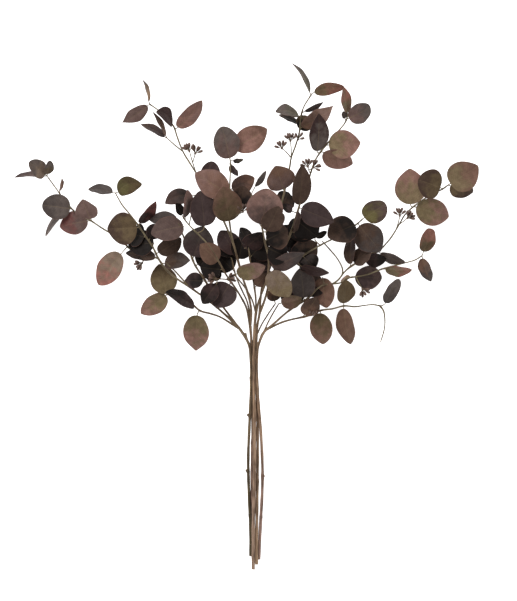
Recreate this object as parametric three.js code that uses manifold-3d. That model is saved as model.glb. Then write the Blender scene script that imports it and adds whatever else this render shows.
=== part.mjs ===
import * as THREE from "three";
import { mergeVertices } from "three/addons/utils/BufferGeometryUtils.js";
import Module from "manifold-3d";

// A bunch of five cut eucalyptus stems with round leaves and clusters of seed capsules,
// lying on a flat surface. Millimetres, +Z up, the cut ends towards -Y, the tips towards +Y.
// The origin is under the middle of the bunch, on the surface that it lies on.

// Stems and twigs: tubes with fewer sides where they are thinner
const STEM_SIDES = 6;
const BRANCH_SIDES = 5;
const TWIG_SIDES = 4;
const STEM_RADIUS = 1.9;
const BRANCH_RADIUS = 1.3;

// Leaf blades: thickness, outline, and the shares of the length at which a blade is cut
const BLADE_THICKNESS = 0.8;
const BASE_NARROWING = 0.5;
const TIP_NARROWING = 0.7;
const BLADE_WIDEST_POWER = 0.85;
const BLADE_CUP = 0.1;
const BLADE_ARCH = 0.05;
const WIDE_LEAF = 34;
const BROAD_LEAF = 38;
const BROAD_STATIONS = [0, 0.09, 0.3, 0.6, 0.87, 1];
const WIDE_STATIONS = [0, 0.13, 0.44, 0.81, 1];
const NARROW_STATIONS = [0, 0.16, 0.46, 0.81, 1];

// Leaf stalks, rooted inside the twig
const PETIOLE_HALF_WIDTH = 0.7;
const PETIOLE_THICKNESS = 1.2;
const PETIOLE_SUNK = 0.6;
const SHORTEST_PETIOLE = 3.5;

// Seed capsules: [distance from the knuckle, radius], and how a cluster fans out: to either
// side in radians, and up and down by turns
const CAPSULE_STATIONS = [[0.7, 0.4], [10.5, 1.4]];
const CAPSULE_SIDES = 4;
const KNUCKLE_RADIUS = 2.1;
const CLUSTER_FAN = 0.85;
const CLUSTER_TILT = 0.3;

// A direction that no capsule runs in, to build their side vectors from
const ASIDE = new THREE.Vector3(0.3, -0.2, 1);

// Cubic millimetres: what comes loose below this is a crumb of the fusing
const SCRAP_VOLUME = 1;

// Millimetres: the fusing leaves slivers, and what is finer than this is smoothed away
const SMALLEST_DETAIL = 0.05;

// Each stem: twigs are [first radius, last radius, [[x, y, z], ...]], the first of them the
// stem itself; leaves are [base x, base y, tip x, tip y, rise, width, roll in degrees] and,
// where a leaf isn't straight and blunt, how far it bows to its right and how fast its tip narrows;
// capsules are [x, y, z, towards x, towards y, towards z, how many].
const STEMS = {
  stem_left: {
    colour: 0x5a4a44,
    twigs: [
      [1.95, 1.65, [[4.4, -288, 1.7], [4, -250, 7.7], [2.2, -210, 13.4], [1.4, -170, 19.2],
        [2.8, -130, 25], [4.5, -90, 30.9], [4.8, -60, 35.2], [3.4, -37, 38.6],
        [-1, -25, 40.4], [-6, -17, 41.5], [-11, -10, 42.2]]],
      [1.3, 0.9, [[-8, -14, 41.8], [-30, 0, 41], [-43, 5, 39.5], [-57, 9, 37], [-68, 19, 34],
        [-79, 25, 31], [-91, 30, 28]]],
      [1.5, 1.1, [[-7.3, -14.8, 41.5], [-22, 0, 45], [-33, 10, 47.5], [-45, 20, 49], [-56, 28, 49],
        [-70, 38, 48.5], [-84, 47, 47], [-97, 58, 45.5], [-107, 72, 44]]],
      [1, 0.8, [[-70, 38, 48.5], [-87, 57, 52], [-97, 66, 54]]],
      [1.1, 0.8, [[-107, 72, 44], [-113, 85, 47], [-121, 97, 49], [-131, 112, 50],
        [-141, 125, 50], [-150, 136, 49], [-158, 150, 48]]],
      [1.1, 0.7, [[-107, 72, 44], [-121, 75, 38], [-138, 81, 31], [-150, 92, 27],
        [-163, 101, 24], [-176, 109, 21.5], [-188, 117, 20], [-205, 126, 20],
        [-218, 139, 21], [-228, 153, 22.5], [-241, 171, 24]]],
      [1.4, 0.9, [[-8.8, -13, 42.1], [-18, -1, 45], [-27, 11, 48.5], [-40, 28, 53],
        [-52, 48, 57], [-62, 63, 59.5], [-69, 80, 61], [-75, 95, 62], [-82, 113, 62]]],
      [0.7, 0.6, [[-121, 75, 38], [-124, 70, 41], [-126, 66, 42]]],
    ],
    leaves: [
      [-97, 29, -106, 65, -6, 33, 12],
      [-98, 27, -128, 5, -12, 25, -18],
      [-62, 11, -98, 31, 18, 26, 52],
      [-60, 3, -62, -40, -34, 32, 8, 0, 1],
      [-152, 77, -180, 40, -30, 31, 14],
      [-131, 107, -168, 107, -8, 40, -10],
      [-186, 118, -198, 143, 10, 30, -28, 0, 0.8],
      [-189, 117, -226, 110, -2, 30, 18],
      [-212, 129, -247, 136, 4, 31, 8, 0, 0.5],
      [-218, 132, -244, 99, -21, 16, 58, 0, 0.5],
      [-226, 150, -223, 169, 10, 10, 66, 0, 1.2],
      [-243, 171, -281, 169, 3, 17, 66, 2, 0.9],
      [-242, 172, -262, 187, 20, 22, 22, 0, 0.5],
      [-241, 174, -237, 189, 22, 13, 30, 0, 0.5],
      [-161, 151, -191, 155, -6, 24, 58],
      [-158, 152, -126, 161, 5, 26, 34, -7, 0.7],
      [-112, 90, -143, 88, -12, 33, 14],
      [-107, 72, -146, 78, -3, 20, 40],
      [-128, 113, -109, 140, 10, 20, 52, 0, 0.9],
      [-118, 92, -111, 113, -4, 22, 40],
      [-84, 117, -118, 119, -14, 20, 30],
      [-76, 110, -115, 101, 2, 31, 18],
      [-107, 78, -79, 96, 4, 27, 36],
      [-100, 67, -68, 69, 8, 26, -38, 0, 0.8],
      [-66, 70, -52, 110, 8, 38, 10],
      [-52, 47, -36, 66, -8, 30, 14],
      [-50, 44, -75, 45, -12, 20, 10, 0, 0.8],
      [-62, 62, -42, 80, -14, 30, 12],
      [-121, 97, -140, 100, -16, 30, 12],
    ],
    capsules: [
      [-126, 66, 42, -0.8, -0.5, 0.3, 5],
    ],
  },
  stem_upper_left: {
    colour: 0x6b5450,
    twigs: [
      [1.95, 1.6, [[8.8, -296, 1.7], [7.6, -250, 5.6], [5.9, -210, 11.6], [6, -170, 17.1],
        [6.7, -130, 22.1], [6.2, -90, 27.2], [6.2, -60, 31], [5.6, -35, 34.7], [4, -10, 39]]],
      [1.3, 0.8, [[4.8, -22, 36.9], [1.5, 2, 42], [-1, 13, 46], [-6, 23, 50], [-14, 36, 56],
        [-25, 52, 64], [-34, 68, 70], [-45, 86, 76], [-58, 100, 79], [-69, 111, 80],
        [-76, 120, 80]]],
      [0.8, 0.7, [[-69, 111, 80], [-66, 126, 82], [-63, 139, 82], [-62, 147, 81]]],
      [1.1, 0.8, [[4, -10, 39], [3, 6, 43.5], [0, 20, 48], [-5, 31, 51], [-10, 42, 53],
        [-15, 56, 55], [-18, 70, 56]]],
      [1.5, 0.8, [[4, -10, 39], [5, 8, 44], [3, 22, 48.5], [-1, 36, 52.5], [-5, 48, 56],
        [-10, 66, 60], [-16, 88, 64], [-22, 103, 66], [-29, 119, 66], [-38, 140, 64],
        [-49, 157, 60], [-61, 174, 56], [-68, 185, 52.5], [-77, 200, 48], [-84, 218, 44],
        [-88, 230, 41.5], [-96, 240, 39.5], [-107, 250, 38], [-117, 257, 37]]],
      [1.1, 0.8, [[-16, 88, 64], [-20, 108, 70], [-22, 130, 74], [-21, 152, 73],
        [-20, 172, 69], [-20, 188, 65]]],
      [0.8, 0.7, [[-77, 200, 48], [-86, 207, 47], [-96, 216, 45]]],
      [0.7, 0.6, [[-61, 174, 56], [-65, 186, 60], [-69, 200, 62]]],
      [0.6, 0.6, [[-65, 186, 60], [-62, 197, 63]]],
      [0.7, 0.6, [[-17, 41, 58], [-24, 46, 65], [-37, 47, 69]]],
      [0.8, 0.7, [[-21, 122, 72.5], [-13, 123, 76], [-5, 127, 78]]],
    ],
    leaves: [
      [-119, 257, -151, 235, -8, 20, -30, 0, 1.3],
      [-118, 260, -126, 287, 8, 12, 66, 2, 1.2],
      [-83, 229, -54, 261, 12, 22, 30],
      [-86, 230, -109, 247, 16, 22, 44, 6, 0.7],
      [-97, 216, -128, 233, -4, 21, 62, 0, 0.8],
      [-97, 216, -114, 248, 8, 14, 64, 0, 1.1],
      [-18, 188, -30, 229, 8, 33, 14, 0, 0.5],
      [-15, 204, 24, 227, -12, 31, 10],
      [-17, 189, -4, 190, -2, 11, 60],
      [-20, 186, -11, 170, -8, 16, 58, 0, 0.8],
      [-23, 147, -62, 173, 4, 34, 14],
      [-40, 146, -45, 188, -26, 29, -20, 0, 0.5],
      [-21, 153, 9, 168, -6, 26, 30],
      [-23, 113, -28, 157, 24, 36, 8],
      [-74, 117, -71, 153, 12, 22, 60],
      [-61, 148, -98, 137, -6, 22, -30, 6, 0.8],
      [-76, 121, -85, 137, 4, 15, 45],
      [-51, 110, -56, 152, 2, 35, 22],
      [-32, 66, -56, 88, 10, 26, 15],
      [-12, 74, -32, 105, -14, 28, 20],
      [-18, 44, -38, 13, 4, 34, 8],
      [-37, 40, -53, 17, -2, 22, 10],
      [-28, 58, -56, 61, -6, 30, -14],
      [-18, 70, -28, 94, -8, 30, 25],
      [-8, 132, -4, 158, -6, 27, 14],
      [-14, 56, -34, 74, -6, 28, 10],
      [-9, 68, -5, 98, -6, 28, 16],
    ],
    capsules: [
      [-69, 200, 62, -0.35, 1, 0.1, 5],
      [-62, 197, 63, 0.4, 1, 0.1, 5],
      [-37, 47, 69, -1, 0.1, 0.3, 5],
      [-23, 47, 66, 1, 0.1, 0.4, 5],
      [-5, 127, 78, 0.1, 1, 0.2, 5],
    ],
  },
  stem_centre: {
    colour: 0x6e5f52,
    twigs: [
      [2.15, 1.7, [[7.4, -304, 4.6], [7.6, -250, 11.6], [8.6, -210, 17.3], [9.2, -170, 22.9],
        [9.1, -130, 28.4], [8.4, -90, 33.7], [8.3, -60, 37.9], [8.4, -35, 41.6], [9.2, -10, 47],
        [10.6, 6, 52]]],
      [1.3, 0.9, [[9.2, -10, 47], [11.5, 8, 53], [14, 20, 60], [19, 33, 69], [24, 48, 79],
        [26, 62, 88], [25, 76, 95], [22, 88, 100], [18, 108, 104]]],
      [1.2, 0.8, [[10.6, 6, 52], [10.5, 24, 60], [8, 42, 67], [5, 60, 74], [3, 76, 79],
        [0, 92, 82]]],
      [1.1, 0.8, [[10.6, 6, 52], [6, 22, 62], [-2, 36, 70], [-10, 46, 75], [-15, 52, 77]]],
    ],
    leaves: [
      [18, 109, 24, 154, 6, 44, 4, 0, 0.5],
      [24, 104, 38, 133, 12, 27, 14],
      [-16, 53, 22, 62, 8, 23, 28],
      [28, 57, 51, 26, -18, 29, 14],
      [29, 61, 69, 78, -8, 25, 40, 0, 0.9],
      [3, 86, -8, 108, 4, 24, 50],
      [-3, 84, 19, 102, 6, 28, 38],
      [2, 72, 22, 94, -6, 36, 20],
      [21, 84, 48, 72, -16, 33, -10],
      [21, 92, 48, 106, -8, 36, 16],
      [12, 36, 26, 58, 4, 20, 30],
      [3, 58, 24, 78, -8, 34, 14],
      [10, 157, 23, 176, -10, 9, 40, 0, 0.9],
    ],
    capsules: [],
  },
  stem_upper_right: {
    colour: 0x5c4340,
    twigs: [
      [1.95, 1.6, [[11.5, -298, 5], [11.7, -250, 9.6], [12.3, -210, 13.7], [12.8, -170, 17.8],
        [12.7, -130, 22.4], [11.7, -90, 27.1], [10.3, -60, 31], [10.8, -35, 34.7],
        [12, -10, 39.4]]],
      [1.5, 0.8, [[12, -10, 39.4], [15, 5, 42.5], [16, 20, 46], [18, 36, 49.5], [24, 55, 53],
        [30, 80, 56], [36, 105, 57.5], [40, 130, 58], [45, 152, 58], [51, 180, 57],
        [53, 192, 56], [59, 209, 54], [63, 224, 52], [64, 238, 50.5], [68, 253, 49],
        [77, 268, 47]]],
      [1.5, 0.8, [[15, 5, 42.5], [21, 21, 46], [26, 38, 49], [33, 58, 52], [42, 78, 55],
        [50, 96, 58], [57, 115, 60], [62, 132, 62], [67, 148, 63], [73, 163, 63],
        [79, 182, 61], [84, 193, 59], [92, 204, 57], [102, 216, 54], [112, 227, 51],
        [118, 235, 49], [121, 243, 48]]],
      [1, 0.8, [[11.3, -22, 37], [17, -9, 38], [23, 1, 37.5], [29, 10, 37], [34, 17, 36.5]]],
      [1.2, 0.8, [[33, 58, 52], [60, 71, 52], [82, 84, 49], [97, 92, 46], [118, 102, 43],
        [131, 112, 41], [140, 120, 40]]],
      [0.7, 0.6, [[53, 192, 56], [47, 199, 60], [42, 203, 62]]],
      [0.7, 0.6, [[53, 192, 56], [53, 202, 61], [52, 212, 63]]],
      [0.7, 0.6, [[76, 173, 62], [74, 177, 65], [73, 181, 67]]],
      [0.6, 0.6, [[74, 177, 65], [79, 180, 68]]],
    ],
    leaves: [
      [45, 151, 34, 182, 8, 36, 12],
      [60, 133, 66, 185, 14, 26, 26, 0, 0.9],
      [60, 133, 104, 115, 8, 30, 8],
      [84, 200, 86, 245, 12, 26, 24, 0, 0.9],
      [66, 227, 104, 255, 8, 25, 36, 0, 1.3],
      [64, 247, 93, 260, 3, 10, 50, 0, 1.4],
      [62, 243, 34, 247, 10, 22, 50, 4, 0.7],
      [61, 232, 38, 244, -4, 16, 60],
      [66, 222, 72, 243, -8, 22, 20],
      [77, 270, 53, 306, 6, 15, 64, 5, 0.9],
      [81, 271, 117, 277, 6, 19, 40, -4, 0.5],
      [122, 244, 116, 277, 6, 20, 50, -2, 0.7],
      [120, 238, 148, 254, -4, 27, 30, 0, 0.5],
      [117, 237, 115, 248, 3, 10, 40],
      [96, 206, 136, 210, 6, 35, 8],
      [88, 200, 127, 185, -20, 29, 34],
      [133, 113, 97, 97, 12, 35, 14],
      [133, 114, 161, 80, -5, 36, 14, 0, 0.8],
      [137, 120, 166, 138, 6, 31, 26, 0, 0.5],
      [57, 103, 61, 128, 10, 20, 66, 0, 0.8],
      [54, 128, 41, 135, 6, 12, 30],
      [59, 118, 84, 98, -14, 34, 14],
      [44, 82, 50, 112, -12, 36, 18],
      [52, 68, 84, 90, -12, 34, 18],
      [66, 76, 82, 60, -6, 28, 20],
      [34, 17, 30, 36, 2, 19, 22],
      [36, 104, 26, 130, -10, 30, 16],
      [40, 130, 50, 151, -14, 26, 20],
      [24, 54, 12, 80, -6, 30, 18],
      [66, 62, 99, 54, -10, 18, 50, 0, 0.8],
      [31, 80, 46, 104, -24, 32, -14],
      [50, 96, 76, 112, -28, 34, -10],
      [44, 86, 72, 84, -32, 34, -10],
      [83, 97, 96, 104, -8, 8, 20],
      [26, 38, 12, 56, -6, 26, 10],
    ],
    capsules: [
      [42, 203, 62, -0.35, 1, 0.1, 5],
      [52, 212, 63, 0, 1, 0.1, 5],
      [61, 214, 53.5, 0.5, 0.8, 0.5, 3],
      [73, 181, 67, -0.4, 1, 0.1, 5],
      [79, 180, 68, 0.9, 0.5, 0.2, 5],
    ],
  },
  stem_right: {
    colour: 0x57463a,
    twigs: [
      [1.95, 1.65, [[14.2, -292, 1.7], [16.2, -250, 7.9], [18.3, -210, 13.6],
        [18.6, -180, 17.8], [16.8, -140, 24.1], [14.6, -112, 28.6], [12.8, -88, 31.3],
        [11.8, -60, 35.2], [12.4, -40, 38], [14.6, -30, 39.5], [19, -19, 41], [25, -12, 41.5]]],
      [1, 0.8, [[17, -24, 40.3], [25, -6, 43], [32, 7, 44.5], [38, 17, 45.5]]],
      [1.4, 1, [[22, -15, 41.3], [32, -7, 41], [41, 1, 39.5], [52, 10, 37.5], [66, 19, 35],
        [76, 26, 33], [84, 35, 31.5], [93, 40, 30], [103, 41, 29]]],
      [1.3, 0.8, [[22, -15, 41.3], [40, -6, 38], [53, -2, 34.5], [62, 0, 31], [75, 3, 27],
        [89, 9, 23.5], [103, 11, 21], [117, 14.5, 18.5], [130, 13.5, 16.5], [141, 15, 15],
        [152, 16, 14], [161, 14.5, 13]]],
      [1.1, 0.8, [[103, 41, 29], [110, 46, 28.5], [117, 55, 28], [125, 62, 27.5],
        [135, 68, 26.5], [148, 77, 25], [158, 80, 24], [168, 90, 23], [175, 99, 22.5],
        [183, 112, 22], [190, 124, 22.5], [198, 132, 23], [210, 141, 24], [221, 148, 25],
        [235, 155, 26.5], [242, 160, 27.5]]],
      [1, 0.8, [[103, 41, 29], [113, 42.5, 26.5], [121, 48, 24.5], [140, 51, 21],
        [155, 56, 18.5], [166, 60, 17], [193, 67, 15], [203, 70, 14.5], [211, 75, 14]]],
      [0.7, 0.6, [[179, 105, 22.2], [182, 114, 26], [184, 123, 28]]],
      [0.6, 0.6, [[181.5, 111, 25], [193, 120, 28]]],
      [0.7, 0.6, [[131, 49.6, 22.7], [135, 42, 23], [139, 35, 24]]],
      [0.9, 0.8, [[114, 50, 28.2], [115, 59, 29], [109, 71, 30], [100, 82, 31], [90, 93, 32]]],
      [1.1, 0.7, [[160, 15, 13], [165, 8, 12], [166.5, -4, 10.5], [165.5, -15, 9], [161, -30, 7]]],
    ],
    leaves: [
      [123, 63, 127, 102, -7, 20, -48],
      [127, 63, 150, 83, 4, 26, -40],
      [140, 70, 168, 71, -2, 22, 40],
      [161, 78, 191, 67, -6, 18, 50],
      [163, 60, 199, 58, 2, 24, 58],
      [127, 50, 163, 49, -20, 29, 4],
      [213, 80, 221, 108, 6, 22, 32, 0, 0.3],
      [212, 75, 222, 44, -12, 20, 42],
      [197, 137, 196, 180, 6, 39, 6],
      [238, 153, 206, 166, 8, 37, 8, 0, 0.5],
      [202, 133, 244, 122, -24, 33, 6],
      [243, 163, 278, 183, 10, 38, 8],
      [243, 160, 273, 152, -14, 25, 34],
      [116, 16, 119, 46, 8, 27, 34],
      [127, 47, 113, 45, -10, 12, 60],
      [117, 11, 125, -32, -18, 26, 34],
      [89, 7, 92, -32, -24, 28, 12],
      [167, 18, 183, 47, 10, 20, 38, -2, 0.4],
      [91, 48, 96, 12, -8, 27, 14],
      [68, 22, 64, 60, 8, 31, 10],
      [40, 19, 66, 24, 4, 24, 46],
      [50, 12, 54, 44, -13, 30, 20],
      [72, 24, 84, 54, -15, 32, 14],
      [67, 2, 84, 25, 8, 24, 26],
    ],
    capsules: [
      [184, 123, 28, -0.1, 1, 0.2, 5],
      [193, 120, 28, 0.7, 0.7, 0.2, 5],
      [139, 35, 24, 0.5, -0.8, 0.3, 5],
      [77, 4, 26.6, 0.3, 0.4, 0.6, 5],
    ],
  },
};

const wasm = await Module();
wasm.setup();

function solidFrom(points, triangles) {
  return new wasm.Manifold(new wasm.Mesh({
    numProp: 3,
    vertProperties: new Float32Array(points.flatMap(({ x, y, z }) => [x, y, z])),
    triVerts: new Uint32Array(triangles),
  }));
}

// Triangles between two rows of points that run the same way. Seen from outside, the rows
// run to the right and the second row lies above the first.
function strip(here, there) {
  const triangles = [];
  let first = 0;
  let second = 0;
  while (first + 1 < here.length || second + 1 < there.length) {
    const firstShare = (first + 1) / (here.length - 1);
    const secondShare = (second + 1) / (there.length - 1);
    if (firstShare <= secondShare) {
      triangles.push(here[first], here[first + 1], there[second]);
      first += 1;
    } else {
      triangles.push(here[first], there[second + 1], there[second]);
      second += 1;
    }
  }
  return triangles;
}

// The same triangles facing the other way
function turned(triangles) {
  return [...triangles].reverse();
}

// A fan of triangles that closes a ring, facing back along the loft
function cap(ring) {
  return ring.slice(1, -1).flatMap((_, index) => [ring[0], ring[index + 2], ring[index + 1]]);
}

// A closed tube from rings of equal length, each counterclockwise seen from the next one
function loftSolid(rings) {
  const count = rings[0].length;
  const rows = rings.map((_, ring) => Array.from({ length: count }, (_, side) => ring * count + side));
  const closed = rows.map((row) => [...row, row[0]]);
  const sides = closed.slice(1).flatMap((row, index) => strip(closed[index], row));
  return solidFrom(rings.flat(), [...sides, ...cap(rows[0]), ...turned(cap(rows.at(-1)))]);
}

// A closed blade from sections with an upper and a lower row of points, split alike
function bladeSolid(sections) {
  const points = [];
  const rows = sections.map(({ upper, lower }) => {
    const add = (row) => row.map((point) => points.push(point) - 1);
    return { upper: add(upper), lower: add(lower) };
  });
  const sides = rows.slice(1).flatMap((there, index) => {
    const here = rows[index];
    return [
      ...strip(here.upper, there.upper),
      ...turned(strip(here.lower, there.lower)),
      ...strip([here.upper.at(-1), here.lower.at(-1)], [there.upper.at(-1), there.lower.at(-1)]),
      ...strip([here.lower[0], here.upper[0]], [there.lower[0], there.upper[0]]),
    ];
  });
  const around = ({ upper, lower }) => [...upper, ...[...lower].reverse()];
  return solidFrom(points, [
    ...sides,
    ...cap(around(rows[0])),
    ...turned(cap(around(rows.at(-1)))),
  ]);
}

// A tube with flat ends along points, its radius running from the first to the last value
function tubeSolid(points, firstRadius, lastRadius) {
  const twigSides = firstRadius >= BRANCH_RADIUS ? BRANCH_SIDES : TWIG_SIDES;
  const sides = firstRadius >= STEM_RADIUS ? STEM_SIDES : twigSides;
  let across = new THREE.Vector3(1, 0, 0);
  const rings = points.map((point, index) => {
    const before = points[Math.max(index - 1, 0)];
    const after = points[Math.min(index + 1, points.length - 1)];
    const along = after.clone().sub(before).normalize();
    const normal = new THREE.Vector3().crossVectors(along, across).normalize();
    across = new THREE.Vector3().crossVectors(normal, along).normalize();
    const radius = THREE.MathUtils.lerp(firstRadius, lastRadius, index / (points.length - 1));
    return Array.from({ length: sides }, (_, side) => {
      const angle = (2 * Math.PI * side) / sides;
      return point.clone()
        .addScaledVector(across, radius * Math.cos(angle))
        .addScaledVector(normal, radius * Math.sin(angle));
    });
  });
  return loftSolid(rings);
}

// The point of the twigs that lies nearest to x, y as seen from above
function nearestOnTwigs(twigs, x, y) {
  let best = null;
  let bestDistance = Infinity;
  for (const [, , route] of twigs) {
    for (let index = 0; index + 1 < route.length; index += 1) {
      const start = new THREE.Vector3(...route[index]);
      const end = new THREE.Vector3(...route[index + 1]);
      const span = end.clone().sub(start);
      const flat = span.x * span.x + span.y * span.y;
      const share = ((x - start.x) * span.x + (y - start.y) * span.y) / flat;
      const point = start.addScaledVector(span, THREE.MathUtils.clamp(share, 0, 1));
      const distance = Math.hypot(point.x - x, point.y - y);
      if (distance < bestDistance) {
        best = point;
        bestDistance = distance;
      }
    }
  }
  return best;
}

// One leaf with its stalk, a thin blade that is cupped across and arched along its length.
// Where it would reach below the surface it lies flat on it, as thick as elsewhere.
function leafSolid(twigs, leaf) {
  const [baseX, baseY, tipX, tipY, rise, width, rollDegrees, bow = 0, narrowing = TIP_NARROWING] = leaf;
  const joint = nearestOnTwigs(twigs, baseX, baseY);
  const tip = new THREE.Vector3(tipX, tipY, joint.z + rise);
  const stalk = Math.hypot(baseX - joint.x, baseY - joint.y);
  const reach = Math.hypot(tipX - baseX, tipY - baseY);
  const base = new THREE.Vector3(baseX, baseY, joint.z + (rise * stalk) / (stalk + reach));
  if (stalk < SHORTEST_PETIOLE) {
    base.copy(joint).lerp(tip, SHORTEST_PETIOLE / joint.distanceTo(tip));
  }
  const length = base.distanceTo(tip);
  const along = tip.clone().sub(base).normalize();
  const level = new THREE.Vector3().crossVectors(along, new THREE.Vector3(0, 0, 1)).normalize();
  const roll = THREE.MathUtils.degToRad(rollDegrees);
  const side = level.clone().applyAxisAngle(along, roll);
  const normal = new THREE.Vector3().crossVectors(side, along);
  const root = joint.clone().addScaledVector(along, -PETIOLE_SUNK);
  const section = (centre, acrossUpper, acrossLower, thickness, cup) => {
    const row = (places, up, floor) => places.map((across) => {
      const point = centre.clone()
        .addScaledVector(side, across)
        .addScaledVector(normal, up + (across === 0 ? 0 : cup));
      return point.setZ(Math.max(point.z, floor));
    });
    return {
      upper: row(acrossUpper, thickness / 2, thickness),
      lower: row(acrossLower, -thickness / 2, 0),
    };
  };
  const stalkSection = (centre) => section(
    centre,
    [-PETIOLE_HALF_WIDTH, PETIOLE_HALF_WIDTH],
    [0],
    PETIOLE_THICKNESS,
    0,
  );
  const wideStations = width >= BROAD_LEAF ? BROAD_STATIONS : WIDE_STATIONS;
  const stations = width >= WIDE_LEAF ? wideStations : NARROW_STATIONS;
  const blade = stations.slice(1, -1).map((share) => {
    const steepness = THREE.MathUtils.lerp(BASE_NARROWING, narrowing, share);
    const outline = Math.sin(Math.PI * share ** BLADE_WIDEST_POWER) ** steepness;
    const half = (width / 2) * outline;
    const middle = 4 * share * (1 - share);
    const centre = base.clone().lerp(tip, share)
      .addScaledVector(normal, BLADE_ARCH * length * middle)
      .addScaledVector(side, bow * middle);
    const across = width >= WIDE_LEAF ? [-half, 0, half] : [-half, half];
    return section(centre, across, across, BLADE_THICKNESS, BLADE_CUP * half);
  });
  const sections = [
    stalkSection(root),
    stalkSection(base),
    ...blade,
    section(tip, [0], [0], BLADE_THICKNESS, 0),
  ];
  return bladeSolid(sections);
}

// One seed capsule on its short stalk, out of the knuckle that carries its cluster
function capsuleSolid(knuckle, towards) {
  const across = ASIDE.clone().cross(towards).normalize();
  const up = new THREE.Vector3().crossVectors(across, towards);
  const rings = CAPSULE_STATIONS.map(([distance, radius]) => {
    const centre = knuckle.clone().addScaledVector(towards, distance);
    return Array.from({ length: CAPSULE_SIDES }, (_, corner) => {
      const angle = (2 * Math.PI * corner) / CAPSULE_SIDES;
      return centre.clone()
        .addScaledVector(across, radius * Math.cos(angle))
        .addScaledVector(up, -radius * Math.sin(angle));
    });
  });
  return loftSolid(rings);
}

// A cluster of capsules that fan out from one knuckle, side by side
function clusterSolids([x, y, z, towardsX, towardsY, towardsZ, count]) {
  const centre = new THREE.Vector3(x, y, z);
  const axis = new THREE.Vector3(towardsX, towardsY, towardsZ).normalize();
  const knuckle = new THREE.OctahedronGeometry(KNUCKLE_RADIUS, 0).translate(x, y, z);
  const capsules = Array.from({ length: count }, (_, index) => {
    const turn = CLUSTER_FAN * (1 - (2 * index) / (count - 1));
    const towards = axis.clone().applyAxisAngle(new THREE.Vector3(0, 0, 1), turn);
    towards.z += index % 2 === 0 ? CLUSTER_TILT : -CLUSTER_TILT;
    return capsuleSolid(centre, towards.normalize());
  });
  return [toSolid(knuckle), ...capsules];
}

function toSolid(geometry) {
  geometry.deleteAttribute("normal");
  geometry.deleteAttribute("uv");
  const merged = mergeVertices(geometry);
  return new wasm.Manifold(new wasm.Mesh({
    numProp: 3,
    vertProperties: new Float32Array(merged.attributes.position.array),
    triVerts: new Uint32Array(merged.index.array),
  }));
}

function toGeometry(solid) {
  const mesh = solid.getMesh();
  const geometry = new THREE.BufferGeometry();
  const positions = new Float32Array(mesh.numVert * 3);
  for (let index = 0; index < mesh.numVert; index += 1) {
    for (let axis = 0; axis < 3; axis += 1) {
      positions[index * 3 + axis] = mesh.vertProperties[index * mesh.numProp + axis];
    }
  }
  geometry.setAttribute("position", new THREE.BufferAttribute(positions, 3));
  geometry.setIndex(new THREE.BufferAttribute(new Uint32Array(mesh.triVerts), 1));
  const merged = mergeVertices(geometry);
  merged.computeVertexNormals();
  return merged;
}

const group = new THREE.Group();
Object.entries(STEMS).forEach(([name, { colour, twigs, leaves, capsules }]) => {
  const solids = [
    ...twigs.map(([firstRadius, lastRadius, route]) => tubeSolid(
      route.map((point) => new THREE.Vector3(...point)),
      firstRadius,
      lastRadius,
    )),
    ...leaves.map((leaf) => leafSolid(twigs, leaf)),
    ...capsules.flatMap((cluster) => clusterSolids(cluster)),
  ];
  // Fusing can seal a tiny hollow or leave a crumb, which come apart as bodies of their own
  const fused = solids.reduce((whole, solid) => whole.add(solid))
    .decompose()
    .filter((body) => body.volume() > SCRAP_VOLUME)
    .reduce((whole, body) => whole.add(body))
    .simplify(SMALLEST_DETAIL);
  const material = new THREE.MeshStandardMaterial({ color: colour, roughness: 0.75 });
  const mesh = new THREE.Mesh(toGeometry(fused), material);
  mesh.name = name;
  group.add(mesh);
});

export default group;
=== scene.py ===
"""Looks of a cut bunch of eucalyptus stems with leaves and seed capsules, lying on a pale floor.

The tables of stems, leaves and capsules are in millimetres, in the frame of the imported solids:
+Y from the cut ends to the tips, +Z up from the floor. Blender objects are in metres.
"""

import logging
import math
import random
from dataclasses import dataclass, field
from enum import Enum
from typing import NamedTuple

import bpy
from mathutils import Matrix, Vector


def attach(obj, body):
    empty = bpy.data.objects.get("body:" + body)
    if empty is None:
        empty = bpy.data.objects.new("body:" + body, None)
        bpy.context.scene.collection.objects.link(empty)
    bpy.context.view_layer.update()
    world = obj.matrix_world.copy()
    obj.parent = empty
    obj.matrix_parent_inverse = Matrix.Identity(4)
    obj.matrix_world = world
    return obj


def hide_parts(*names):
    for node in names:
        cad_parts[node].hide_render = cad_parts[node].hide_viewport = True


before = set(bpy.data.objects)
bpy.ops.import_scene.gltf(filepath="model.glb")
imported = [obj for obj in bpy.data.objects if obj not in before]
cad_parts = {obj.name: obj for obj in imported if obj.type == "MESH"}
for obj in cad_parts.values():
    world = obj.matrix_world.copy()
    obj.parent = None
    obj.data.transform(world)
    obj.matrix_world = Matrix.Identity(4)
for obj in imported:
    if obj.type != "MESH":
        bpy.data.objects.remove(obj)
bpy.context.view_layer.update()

LOG = logging.getLogger("eucalyptus")
MM = 0.001
UP = Vector((0.0, 0.0, 1.0))
FLOOR_GAP = 0.03
SHARP_ANGLE = math.radians(55.0)
SEEDS = (0.0, 50.0)

Place = tuple[float, float, float]
Colour = tuple[float, float, float]
Span = tuple[float, float]
Profile = tuple[tuple[float, float], ...]
Socket = bpy.types.NodeSocket
Tree = bpy.types.NodeTree
Material = bpy.types.Material


def ramp(value: float, start: float, end: float) -> float:
    """Gives 0 before the start of a span, 1 after its end and a share in between."""
    return min(max((value - start) / (end - start), 0.0), 1.0)


def mix(first: Colour, second: Colour, share: float) -> Colour:
    """Mixes two colours by the share of the second."""
    red, green, blue = (one + (other - one) * share for one, other in zip(first, second))
    return red, green, blue


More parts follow.
